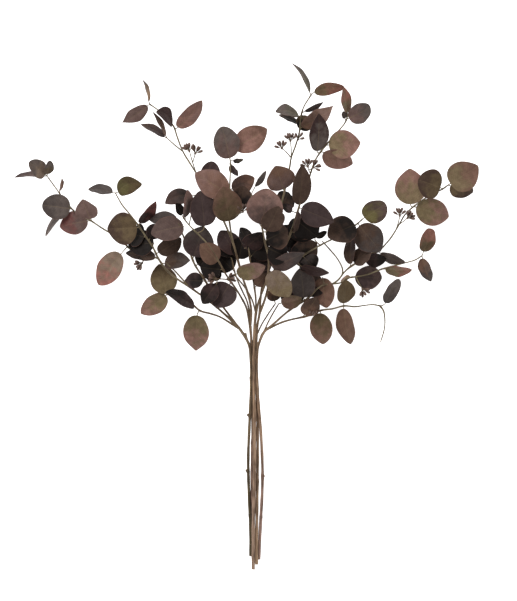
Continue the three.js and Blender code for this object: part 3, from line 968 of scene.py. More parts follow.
@dataclass
class LeafyStem:
    """One cut stem with its twigs, leaves and seed capsules.

    Stubs are what is left of cut side shoots, and bare nodes are swellings that carry no leaf.
    """

    name: str
    twigs: list[Twig]
    leaves: list[Leaf]
    clusters: list[Cluster] = field(default_factory=list)
    stubs: list[Twig] = field(default_factory=list)
    bare_nodes: list[Place] = field(default_factory=list)
    foot_tone: Tone = Tone.BARK
    bark_tone: Tone = Tone.BARK
    leaf_shape: LeafShape = LeafShape()
    capsule_shape: CapsuleShape = CapsuleShape()
    stem_shape: StemShape = StemShape()

    def draws(self, part: str) -> random.Random:
        """Starts the seeded draws of one part, so that it is the same in each run."""
        return random.Random(f"{self.name} {part}")

    def joint(self, leaf: Leaf) -> Vector:
        """Finds where a leaf leaves the twigs."""
        return nearest_on_twigs(self.twigs, leaf.base_x, leaf.base_y)

    def bark_colour(self, centre: Vector, radius: float) -> Colour:
        """Chooses the bark's colour, which has its own tone at the foot and is green on thin shoots.

        Args:
            centre: place on the twig.
            radius: its radius there.

        Returns:
            The colour.
        """
        shape = self.stem_shape
        young = ramp(radius, *shape.young_radii) * ramp(centre.y, *shape.crown_span)
        outer = ramp(math.hypot(centre.x, centre.y), *shape.shoot_span)
        shoot = mix(Tone.TWIG.linear(), Tone.SHOOT.linear(), outer)
        old = mix(self.foot_tone.linear(), self.bark_tone.linear(), ramp(centre.y, *shape.foot_span))
        return mix(old, shoot, young)

    def add_tube(self, draft: MeshDraft, twig: Twig, knots: list[Vector], phase: float) -> None:
        """Adds one stem or twig with its swollen nodes, a cut root and a rounded or cut end.

        Args:
            draft: where it goes.
            twig: its radii and route.
            knots: where it swells.
            phase: shifts the slight waver of its radius.
        """
        shape = self.stem_shape
        curve = smooth_route(twig.route, shape.step)
        thick = twig.first_radius > shape.thin_radius
        sides = shape.thick_sides if thick else shape.thin_sides
        angles = [math.tau * index / sides for index in range(sides)]
        last = len(curve) - 1
        side = Vector((1.0, 0.0, 0.0))
        rings = []
        run = 0.0
        for index, centre in enumerate(curve):
            before, after = curve[max(index - 1, 0)], curve[min(index + 1, last)]
            along = (after - before).normalized()
            normal = side.cross(along).normalized()
            side = along.cross(normal).normalized()
            run += (centre - before).length
            nearest = min(((knot - centre).length for knot in knots), default=math.inf)
            bulge = math.exp(-((nearest / shape.node_length) ** 2))
            radius = twig.first_radius + (twig.last_radius - twig.first_radius) * index / last
            radius += shape.node_swell * min(radius, 1.0) * bulge
            radius *= 1.0 + shape.waver * math.sin(run * shape.waver_rate + phase)
            if index == last and not thick:
                radius *= shape.tip_shrink
            points = ring_points(centre, side, normal, radius, sides)
            for point in points:
                point.z = max(point.z, FLOOR_GAP)
            rings.append(draft.add_points(
                points,
                bark_place=[(radius * math.cos(angle), radius * math.sin(angle), run) for angle in angles],
                bark_tone=[(*self.bark_colour(centre, radius), bulge)] * sides,
            ))
        draft.add_loft(rings, end_marks=(1.0, 1.0 if thick else 0.0))

    def wood(self) -> MeshDraft:
        """Builds the stem and its twigs.

        Returns:
            The mesh draft.
        """
        draft = MeshDraft()
        draw = self.draws("wood")
        knots = [self.joint(leaf) for leaf in self.leaves] + [Vector(place) for place in self.bare_nodes]
        for twig in [*self.twigs, *self.stubs]:
            self.add_tube(draft, twig, knots, draw.uniform(0.0, math.tau))
        return draft

    def foliage(self) -> MeshDraft:
        """Builds the leaves.

        Returns:
            The mesh draft.
        """
        draft = MeshDraft()
        draw = self.draws("leaves")
        for leaf in self.leaves:
            chance = LeafChance.drawn(self.leaf_shape, draw)
            LeafBody(leaf, self.joint(leaf), self.leaf_shape, chance).add_to(draft)
        return draft

    def add_lathe(
        self, draft: MeshDraft, root: Vector, towards: Vector, profile: Profile, seed: float
    ) -> None:
        """Adds one round body from its profile.

        Args:
            draft: where it goes.
            root: where its axis starts.
            towards: unit vector along its axis.
            profile: distances along the axis and radii.
            seed: the body's seed.
        """
        count = self.capsule_shape.sides
        side = towards.cross(UP).normalized()
        normal = side.cross(towards)
        span = profile[-1][0]
        angles = [math.tau * index / count for index in range(count)]
        draft.add_loft([
            draft.add_points(
                ring_points(root + towards * distance, side, normal, radius, count),
                capsule_share=[(distance / span, angle, seed) for angle in angles],
            )
            for distance, radius in profile
        ])

    def capsules(self) -> MeshDraft:
        """Builds the clusters of seed capsules.

        Returns:
            The mesh draft.
        """
        shape = self.capsule_shape
        draft = MeshDraft()
        draw = self.draws("capsules")
        for cluster in self.clusters:
            centre = Vector(cluster.place)
            axis = Vector(cluster.towards).normalized()
            self.add_lathe(draft, centre - axis * shape.knuckle, axis, shape.knuckle_profile(), 0.0)
            for index in range(cluster.count):
                turn = shape.fan * (1.0 - 2.0 * index / (cluster.count - 1))
                turn += shape.jitter * draw.uniform(-1.0, 1.0)
                towards = Matrix.Rotation(turn, 3, UP) @ axis
                towards.z += shape.tilt if index % 2 == 0 else -shape.tilt
                towards.normalize()
                self.add_lathe(draft, centre, towards, shape.profile, draw.uniform(*SEEDS))
        return draft

    def build(self, leaf: Material, bark: Material, capsule: Material) -> None:
        """Makes the finished pieces and lets them stand for the solid.

        Args:
            leaf: material of the leaves.
            bark: material of the stem and twigs.
            capsule: material of the seed capsules.
        """
        pieces = [
            self.wood().to_piece(f"{self.name}_wood", bark, "bark_cut"),
            self.foliage().to_piece(f"{self.name}_leaves", leaf, "leaf_under"),
        ]
        if self.clusters:
            pieces.append(self.capsules().to_piece(f"{self.name}_capsules", capsule))
        for piece in pieces:
            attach(piece, "root")
            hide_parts(self.name)
            LOG.info("%s: %d faces", piece.name, len(piece.data.polygons))


STEM_LEFT = LeafyStem(
    name="stem_left",
    twigs=[
        Twig(1.95, 1.65, [
            (4.4, -288, 1.7), (4, -250, 7.7), (2.2, -210, 13.4), (1.4, -170, 19.2),
            (2.8, -130, 25), (4.5, -90, 30.9), (4.8, -60, 35.2), (3.4, -37, 38.6), (-1, -25, 40.4),
            (-6, -17, 41.5), (-11, -10, 42.2),
        ]),
        Twig(1.3, 0.9, [
            (-8, -14, 41.8), (-30, 0, 41), (-43, 5, 39.5), (-57, 9, 37), (-68, 19, 34),
            (-79, 25, 31), (-91, 30, 28),
        ]),
        Twig(1.5, 1.1, [
            (-7.3, -14.8, 41.5), (-22, 0, 45), (-33, 10, 47.5), (-45, 20, 49), (-56, 28, 49),
            (-70, 38, 48.5), (-84, 47, 47), (-97, 58, 45.5), (-107, 72, 44),
        ]),
        Twig(1, 0.8, [(-70, 38, 48.5), (-87, 57, 52), (-97, 66, 54)]),
        Twig(1.1, 0.8, [
            (-107, 72, 44), (-113, 85, 47), (-121, 97, 49), (-131, 112, 50), (-141, 125, 50),
            (-150, 136, 49), (-158, 150, 48),
        ]),
        Twig(1.1, 0.7, [
            (-107, 72, 44), (-121, 75, 38), (-138, 81, 31), (-150, 92, 27), (-163, 101, 24),
            (-176, 109, 21.5), (-188, 117, 20), (-205, 126, 20), (-218, 139, 21),
            (-228, 153, 22.5), (-241, 171, 24),
        ]),
        Twig(1.4, 0.9, [
            (-8.8, -13, 42.1), (-18, -1, 45), (-27, 11, 48.5), (-40, 28, 53), (-52, 48, 57),
            (-62, 63, 59.5), (-69, 80, 61), (-75, 95, 62), (-82, 113, 62),
        ]),
        Twig(0.7, 0.6, [(-121, 75, 38), (-124, 70, 41), (-126, 66, 42)]),
    ],
    leaves=[
        Leaf(-97, 29, -106, 65, -6, 33, 12, Tone.OLIVE, Tone.BROWN_OLIVE),
        Leaf(-98, 27, -128, 5, -12, 25, -18, Tone.OLIVE, Tone.ROSE),
        Leaf(-62, 11, -98, 31, 18, 26, 52, Tone.MAROON, Tone.PAINTED_SHADE),
        Leaf(-60, 3, -62, -40, -34, 32, 8, Tone.OLIVE, Tone.ROSE, 0, 1),
        Leaf(-152, 77, -180, 40, -30, 31, 14, Tone.MUSHROOM, Tone.CORAL),
        Leaf(-131, 107, -168, 107, -8, 40, -10, Tone.BROWN_OLIVE, Tone.UMBER),
        Leaf(-186, 118, -198, 143, 10, 30, -28, Tone.MAUVE_GREY, Tone.MAUVE_GREY, 0, 0.8),
        Leaf(-189, 117, -226, 110, -2, 30, 18, Tone.PLUM, Tone.WINE),
        Leaf(-212, 129, -247, 136, 4, 31, 8, Tone.GREY, Tone.DARK_GREY, 0, 0.5),
        Leaf(-218, 132, -244, 99, -21, 16, 58, Tone.DARK_GREY, Tone.GREY, 0, 0.5),
        Leaf(-226, 150, -223, 169, 10, 10, 66, Tone.RED_BROWN, Tone.BROWN, 0, 1.2),
        Leaf(-243, 171, -281, 169, 3, 17, 66, Tone.PLUM, Tone.DARK_PLUM, 2, 0.9),
        Leaf(-242, 172, -262, 187, 20, 22, 22, Tone.MUSHROOM, Tone.GREY, 0, 0.5),
        Leaf(-241, 174, -237, 189, 22, 13, 30, Tone.BROWN_OLIVE, Tone.GREY, 0, 0.5),
        Leaf(-161, 151, -191, 155, -6, 24, 58, Tone.DARK_GREY, Tone.DARK_GREY),
        Leaf(-158, 152, -126, 161, 5, 26, 34, Tone.MOSS, Tone.BROWN_OLIVE, -7, 0.7),
        Leaf(-112, 90, -143, 88, -12, 33, 14, Tone.PAINTED_SHADE, Tone.PAINTED_SHADE),
        Leaf(-107, 72, -146, 78, -3, 20, 40, Tone.UMBER, Tone.PAINTED_SHADE),
        Leaf(-128, 113, -109, 140, 10, 20, 52, Tone.MAROON, Tone.WINE, 0, 0.9),
        Leaf(-118, 92, -111, 113, -4, 22, 40, Tone.PAINTED_SHADE, Tone.MAROON),
        Leaf(-84, 117, -118, 119, -14, 20, 30, Tone.DARK_GREY, Tone.DARK_GREY),
        Leaf(-76, 110, -115, 101, 2, 31, 18, Tone.PLUM, Tone.PLUM),
        Leaf(-107, 78, -79, 96, 4, 27, 36, Tone.UMBER, Tone.UMBER),
        Leaf(-100, 67, -68, 69, 8, 26, -38, Tone.UMBER, Tone.DARK_GREY, 0, 0.8),
        Leaf(-66, 70, -52, 110, 8, 38, 10, Tone.DARK_PLUM, Tone.DARK_GREY),
        Leaf(-52, 47, -36, 66, -8, 30, 14, Tone.PAINTED_SHADE, Tone.PAINTED_SHADE),
        Leaf(-50, 44, -75, 45, -12, 20, 10, Tone.PAINTED_SHADE, Tone.DARK_PLUM, 0, 0.8),
        Leaf(-62, 62, -42, 80, -14, 30, 12, Tone.PAINTED_SHADE, Tone.PAINTED_SHADE),
        Leaf(-121, 97, -140, 100, -16, 30, 12, Tone.PAINTED_SHADE, Tone.PAINTED_SHADE),
    ],
    clusters=[
        Cluster((-126, 66, 42), (-0.8, -0.5, 0.3), 5),
    ],
    foot_tone=Tone.MOSSY_BARK,
    bark_tone=Tone.DARK_BARK,
    stubs=[
        Twig(1.6, 1.5, [(2.5, -32, 39.5), (-0.5, -25, 41.5), (-2, -18, 43)]),
        Twig(1.4, 1.2, [(1.4, -187, 17), (-1.2, -183, 18.5)]),
        Twig(1.4, 1.2, [(3.2, -119, 27), (0, -116, 28)]),
    ],
    bare_nodes=[(1.4, -185, 17), (3.4, -238, 9.5), (3.2, -118, 26.8), (4.6, -72, 33.4)],
)

STEM_UPPER_LEFT = LeafyStem(
    name="stem_upper_left",
    twigs=[
        Twig(1.95, 1.6, [
            (8.8, -296, 1.7), (7.6, -250, 5.6), (5.9, -210, 11.6), (6, -170, 17.1),
            (6.7, -130, 22.1), (6.2, -90, 27.2), (6.2, -60, 31), (5.6, -35, 34.7), (4, -10, 39),
        ]),
        Twig(1.3, 0.8, [
            (4.8, -22, 36.9), (1.5, 2, 42), (-1, 13, 46), (-6, 23, 50), (-14, 36, 56),
            (-25, 52, 64), (-34, 68, 70), (-45, 86, 76), (-58, 100, 79), (-69, 111, 80),
            (-76, 120, 80),
        ]),
        Twig(0.8, 0.7, [(-69, 111, 80), (-66, 126, 82), (-63, 139, 82), (-62, 147, 81)]),
        Twig(1.1, 0.8, [
            (4, -10, 39), (3, 6, 43.5), (0, 20, 48), (-5, 31, 51), (-10, 42, 53), (-15, 56, 55),
            (-18, 70, 56),
        ]),
        Twig(1.5, 0.8, [
            (4, -10, 39), (5, 8, 44), (3, 22, 48.5), (-1, 36, 52.5), (-5, 48, 56), (-10, 66, 60),
            (-16, 88, 64), (-22, 103, 66), (-29, 119, 66), (-38, 140, 64), (-49, 157, 60),
            (-61, 174, 56), (-68, 185, 52.5), (-77, 200, 48), (-84, 218, 44), (-88, 230, 41.5),
            (-96, 240, 39.5), (-107, 250, 38), (-117, 257, 37),
        ]),
        Twig(1.1, 0.8, [
            (-16, 88, 64), (-20, 108, 70), (-22, 130, 74), (-21, 152, 73), (-20, 172, 69),
            (-20, 188, 65),
        ]),
        Twig(0.8, 0.7, [(-77, 200, 48), (-86, 207, 47), (-96, 216, 45)]),
        Twig(0.7, 0.6, [(-61, 174, 56), (-65, 186, 60), (-69, 200, 62)]),
        Twig(0.6, 0.6, [(-65, 186, 60), (-62, 197, 63)]),
        Twig(0.7, 0.6, [(-17, 41, 58), (-24, 46, 65), (-37, 47, 69)]),
        Twig(0.8, 0.7, [(-21, 122, 72.5), (-13, 123, 76), (-5, 127, 78)]),
    ],
    leaves=[
        Leaf(-119, 257, -151, 235, -8, 20, -30, Tone.MAUVE_GREY, Tone.MAUVE_GREY, 0, 1.3),
        Leaf(-118, 260, -126, 287, 8, 12, 66, Tone.TAN, Tone.GREY, 2, 1.2),
        Leaf(-83, 229, -54, 261, 12, 22, 30, Tone.ROSE, Tone.MAUVE),
        Leaf(-86, 230, -109, 247, 16, 22, 44, Tone.MAROON, Tone.MAROON, 6, 0.7),
        Leaf(-97, 216, -128, 233, -4, 21, 62, Tone.MAROON, Tone.UMBER, 0, 0.8),
        Leaf(-97, 216, -114, 248, 8, 14, 64, Tone.BROWN, Tone.UMBER, 0, 1.1),
        Leaf(-18, 188, -30, 229, 8, 33, 14, Tone.MAUVE_GREY, Tone.GREY, 0, 0.5),
        Leaf(-15, 204, 24, 227, -12, 31, 10, Tone.ROSE, Tone.RED_BROWN),
        Leaf(-17, 189, -4, 190, -2, 11, 60, Tone.DARK_GREY, Tone.GREY_GREEN),
        Leaf(-20, 186, -11, 170, -8, 16, 58, Tone.MAROON, Tone.MAROON, 0, 0.8),
        Leaf(-23, 147, -62, 173, 4, 34, 14, Tone.RED_BROWN, Tone.MAUVE),
        Leaf(-40, 146, -45, 188, -26, 29, -20, Tone.MAROON, Tone.MAROON, 0, 0.5),
        Leaf(-21, 153, 9, 168, -6, 26, 30, Tone.PLUM, Tone.RED_BROWN),
        Leaf(-23, 113, -28, 157, 24, 36, 8, Tone.BROWN_OLIVE, Tone.BROWN),
        Leaf(-74, 117, -71, 153, 12, 22, 60, Tone.PLUM, Tone.MAUVE),
        Leaf(-61, 148, -98, 137, -6, 22, -30, Tone.DARK_GREY, Tone.PLUM, 6, 0.8),
        Leaf(-76, 121, -85, 137, 4, 15, 45, Tone.PAINTED_SHADE, Tone.PAINTED_SHADE),
        Leaf(-51, 110, -56, 152, 2, 35, 22, Tone.DARK_PLUM, Tone.DARK_PLUM),
        Leaf(-32, 66, -56, 88, 10, 26, 15, Tone.BROWN, Tone.BROWN),
        Leaf(-12, 74, -32, 105, -14, 28, 20, Tone.MAROON, Tone.DARK_PLUM),
        Leaf(-18, 44, -38, 13, 4, 34, 8, Tone.DARK_PLUM, Tone.DARK_PLUM),
        Leaf(-37, 40, -53, 17, -2, 22, 10, Tone.MAROON, Tone.PAINTED_SHADE),
        Leaf(-28, 58, -56, 61, -6, 30, -14, Tone.PAINTED_SHADE, Tone.PAINTED_SHADE),
        Leaf(-18, 70, -28, 94, -8, 30, 25, Tone.PAINTED_SHADE, Tone.PAINTED_SHADE),
        Leaf(-8, 132, -4, 158, -6, 27, 14, Tone.PAINTED_SHADE, Tone.UMBER),
        Leaf(-14, 56, -34, 74, -6, 28, 10, Tone.PAINTED_SHADE, Tone.PAINTED_SHADE),
        Leaf(-9, 68, -5, 98, -6, 28, 16, Tone.PAINTED_SHADE, Tone.PAINTED_SHADE),
    ],
    clusters=[
        Cluster((-69, 200, 62), (-0.35, 1, 0.1), 5),
        Cluster((-62, 197, 63), (0.4, 1, 0.1), 5),
        Cluster((-37, 47, 69), (-1, 0.1, 0.3), 5),
        Cluster((-23, 47, 66), (1, 0.1, 0.4), 5),
        Cluster((-5, 127, 78), (0.1, 1, 0.2), 5),
    ],
    foot_tone=Tone.ROSY_BARK,
    bare_nodes=[(6.4, -150, 19.6), (6, -212, 11.4), (-5, 20, 50), (4.6, -30, 35.6)],
)

STEM_CENTRE = LeafyStem(
    name="stem_centre",
    twigs=[
        Twig(2.15, 1.7, [
            (7.4, -304, 4.6), (7.6, -250, 11.6), (8.6, -210, 17.3), (9.2, -170, 22.9),
            (9.1, -130, 28.4), (8.4, -90, 33.7), (8.3, -60, 37.9), (8.4, -35, 41.6),
            (9.2, -10, 47), (10.6, 6, 52),
        ]),
        Twig(1.3, 0.9, [
            (9.2, -10, 47), (11.5, 8, 53), (14, 20, 60), (19, 33, 69), (24, 48, 79), (26, 62, 88),
            (25, 76, 95), (22, 88, 100), (18, 108, 104),
        ]),
        Twig(1.2, 0.8, [
            (10.6, 6, 52), (10.5, 24, 60), (8, 42, 67), (5, 60, 74), (3, 76, 79), (0, 92, 82),
        ]),
        Twig(1.1, 0.8, [(10.6, 6, 52), (6, 22, 62), (-2, 36, 70), (-10, 46, 75), (-15, 52, 77)]),
    ],
    leaves=[
        Leaf(18, 109, 24, 154, 6, 44, 4, Tone.PLUM, Tone.MAUVE, 0, 0.5),
        Leaf(24, 104, 38, 133, 12, 27, 14, Tone.UMBER, Tone.UMBER),
        Leaf(-16, 53, 22, 62, 8, 23, 28, Tone.OLIVE, Tone.MAUVE),
        Leaf(28, 57, 51, 26, -18, 29, 14, Tone.MUSHROOM, Tone.LIGHT_OLIVE),
        Leaf(29, 61, 69, 78, -8, 25, 40, Tone.PLUM, Tone.DARK_GREY, 0, 0.9),
        Leaf(3, 86, -8, 108, 4, 24, 50, Tone.DARK_GREY, Tone.PAINTED_SHADE),
        Leaf(-3, 84, 19, 102, 6, 28, 38, Tone.MAROON, Tone.PAINTED_SHADE),
        Leaf(2, 72, 22, 94, -6, 36, 20, Tone.PAINTED_SHADE, Tone.PAINTED_SHADE),
        Leaf(21, 84, 48, 72, -16, 33, -10, Tone.PAINTED_SHADE, Tone.PAINTED_SHADE),
        Leaf(21, 92, 48, 106, -8, 36, 16, Tone.PAINTED_SHADE, Tone.UMBER),
        Leaf(12, 36, 26, 58, 4, 20, 30, Tone.BROWN, Tone.UMBER),
        Leaf(3, 58, 24, 78, -8, 34, 14, Tone.PAINTED_SHADE, Tone.MAROON),
        Leaf(10, 157, 23, 176, -10, 9, 40, Tone.DARK_GREY, Tone.GREY, 0, 0.9),
    ],
    foot_tone=Tone.PALE_BARK,
    bare_nodes=[(9, -122, 29.6), (8, -232, 14.2), (8.3, -62, 37.6), (9.1, -176, 22)],
)

STEM_UPPER_RIGHT = LeafyStem(
    name="stem_upper_right",
    twigs=[
        Twig(1.95, 1.6, [
            (11.5, -298, 5), (11.7, -250, 9.6), (12.3, -210, 13.7), (12.8, -170, 17.8),
            (12.7, -130, 22.4), (11.7, -90, 27.1), (10.3, -60, 31), (10.8, -35, 34.7),
            (12, -10, 39.4),
        ]),
        Twig(1.5, 0.8, [
            (12, -10, 39.4), (15, 5, 42.5), (16, 20, 46), (18, 36, 49.5), (24, 55, 53),
            (30, 80, 56), (36, 105, 57.5), (40, 130, 58), (45, 152, 58), (51, 180, 57),
            (53, 192, 56), (59, 209, 54), (63, 224, 52), (64, 238, 50.5), (68, 253, 49),
            (77, 268, 47),
        ]),
        Twig(1.5, 0.8, [
            (15, 5, 42.5), (21, 21, 46), (26, 38, 49), (33, 58, 52), (42, 78, 55), (50, 96, 58),
            (57, 115, 60), (62, 132, 62), (67, 148, 63), (73, 163, 63), (79, 182, 61),
            (84, 193, 59), (92, 204, 57), (102, 216, 54), (112, 227, 51), (118, 235, 49),
            (121, 243, 48),
        ]),
        Twig(1, 0.8, [(11.3, -22, 37), (17, -9, 38), (23, 1, 37.5), (29, 10, 37), (34, 17, 36.5)]),
        Twig(1.2, 0.8, [
            (33, 58, 52), (60, 71, 52), (82, 84, 49), (97, 92, 46), (118, 102, 43), (131, 112, 41),
            (140, 120, 40),
        ]),
        Twig(0.7, 0.6, [(53, 192, 56), (47, 199, 60), (42, 203, 62)]),
        Twig(0.7, 0.6, [(53, 192, 56), (53, 202, 61), (52, 212, 63)]),
        Twig(0.7, 0.6, [(76, 173, 62), (74, 177, 65), (73, 181, 67)]),
        Twig(0.6, 0.6, [(74, 177, 65), (79, 180, 68)]),
    ],
    leaves=[
        Leaf(45, 151, 34, 182, 8, 36, 12, Tone.MAUVE_GREY, Tone.BROWN),
        Leaf(60, 133, 66, 185, 14, 26, 26, Tone.UMBER, Tone.UMBER, 0, 0.9),
        Leaf(60, 133, 104, 115, 8, 30, 8, Tone.DARK_PLUM, Tone.DARK_PLUM),
        Leaf(84, 200, 86, 245, 12, 26, 24, Tone.GREY, Tone.MAROON, 0, 0.9),
        Leaf(66, 227, 104, 255, 8, 25, 36, Tone.BROWN, Tone.ROSE_GREY, 0, 1.3),
        Leaf(64, 247, 93, 260, 3, 10, 50, Tone.DARK_GREY, Tone.DARK_GREY, 0, 1.4),
        Leaf(62, 243, 34, 247, 10, 22, 50, Tone.GREY_GREEN, Tone.GREY, 4, 0.7),
        Leaf(61, 232, 38, 244, -4, 16, 60, Tone.PAINTED_SHADE, Tone.UMBER),
        Leaf(66, 222, 72, 243, -8, 22, 20, Tone.PAINTED_SHADE, Tone.BROWN_OLIVE),
        Leaf(77, 270, 53, 306, 6, 15, 64, Tone.GREY_GREEN, Tone.GREY, 5, 0.9),
        Leaf(81, 271, 117, 277, 6, 19, 40, Tone.OLIVE, Tone.RUST, -4, 0.5),
        Leaf(122, 244, 116, 277, 6, 20, 50, Tone.OLIVE, Tone.RUST, -2, 0.7),
        Leaf(120, 238, 148, 254, -4, 27, 30, Tone.MAUVE_GREY, Tone.GREY, 0, 0.5),
        Leaf(117, 237, 115, 248, 3, 10, 40, Tone.DARK_GREY, Tone.DARK_GREY),
        Leaf(96, 206, 136, 210, 6, 35, 8, Tone.LIGHT_OLIVE, Tone.ROSE),
        Leaf(88, 200, 127, 185, -20, 29, 34, Tone.RED_BROWN, Tone.ROSE),
        Leaf(133, 113, 97, 97, 12, 35, 14, Tone.PAINTED_SHADE, Tone.UMBER),
        Leaf(133, 114, 161, 80, -5, 36, 14, Tone.UMBER, Tone.DARK_GREY, 0, 0.8),
        Leaf(137, 120, 166, 138, 6, 31, 26, Tone.MOSS, Tone.PLUM, 0, 0.5),
        Leaf(57, 103, 61, 128, 10, 20, 66, Tone.UMBER, Tone.PLUM, 0, 0.8),
        Leaf(54, 128, 41, 135, 6, 12, 30, Tone.DARK_PLUM, Tone.PAINTED_SHADE),
        Leaf(59, 118, 84, 98, -14, 34, 14, Tone.PAINTED_SHADE, Tone.PAINTED_SHADE),
        Leaf(44, 82, 50, 112, -12, 36, 18, Tone.PAINTED_SHADE, Tone.PAINTED_SHADE),
        Leaf(52, 68, 84, 90, -12, 34, 18, Tone.PAINTED_SHADE, Tone.UMBER),
        Leaf(66, 76, 82, 60, -6, 28, 20, Tone.DARK_GREY, Tone.PAINTED_SHADE),
        Leaf(34, 17, 30, 36, 2, 19, 22, Tone.UMBER, Tone.BROWN),
        Leaf(36, 104, 26, 130, -10, 30, 16, Tone.PAINTED_SHADE, Tone.MAROON),
        Leaf(40, 130, 50, 151, -14, 26, 20, Tone.UMBER, Tone.PAINTED_SHADE),
        Leaf(24, 54, 12, 80, -6, 30, 18, Tone.PAINTED_SHADE, Tone.PAINTED_SHADE),
        Leaf(66, 62, 99, 54, -10, 18, 50, Tone.MAROON, Tone.DARK_PLUM, 0, 0.8),
        Leaf(31, 80, 46, 104, -24, 32, -14, Tone.PAINTED_SHADE, Tone.PAINTED_SHADE),
        Leaf(50, 96, 76, 112, -28, 34, -10, Tone.PAINTED_SHADE, Tone.PAINTED_SHADE),
        Leaf(44, 86, 72, 84, -32, 34, -10, Tone.PAINTED_SHADE, Tone.PAINTED_SHADE),
        Leaf(83, 97, 96, 104, -8, 8, 20, Tone.PAINTED_SHADE, Tone.PAINTED_SHADE),
        Leaf(26, 38, 12, 56, -6, 26, 10, Tone.PAINTED_SHADE, Tone.MAROON),
    ],
    clusters=[
        Cluster((42, 203, 62), (-0.35, 1, 0.1), 5),
        Cluster((52, 212, 63), (0, 1, 0.1), 5),
        Cluster((61, 214, 53.5), (0.5, 0.8, 0.5), 3),
        Cluster((73, 181, 67), (-0.4, 1, 0.1), 5),
        Cluster((79, 180, 68), (0.9, 0.5, 0.2), 5),
    ],
    bare_nodes=[(12.5, -198, 15), (12.2, -108, 25), (12, -10, 39.4)],
)

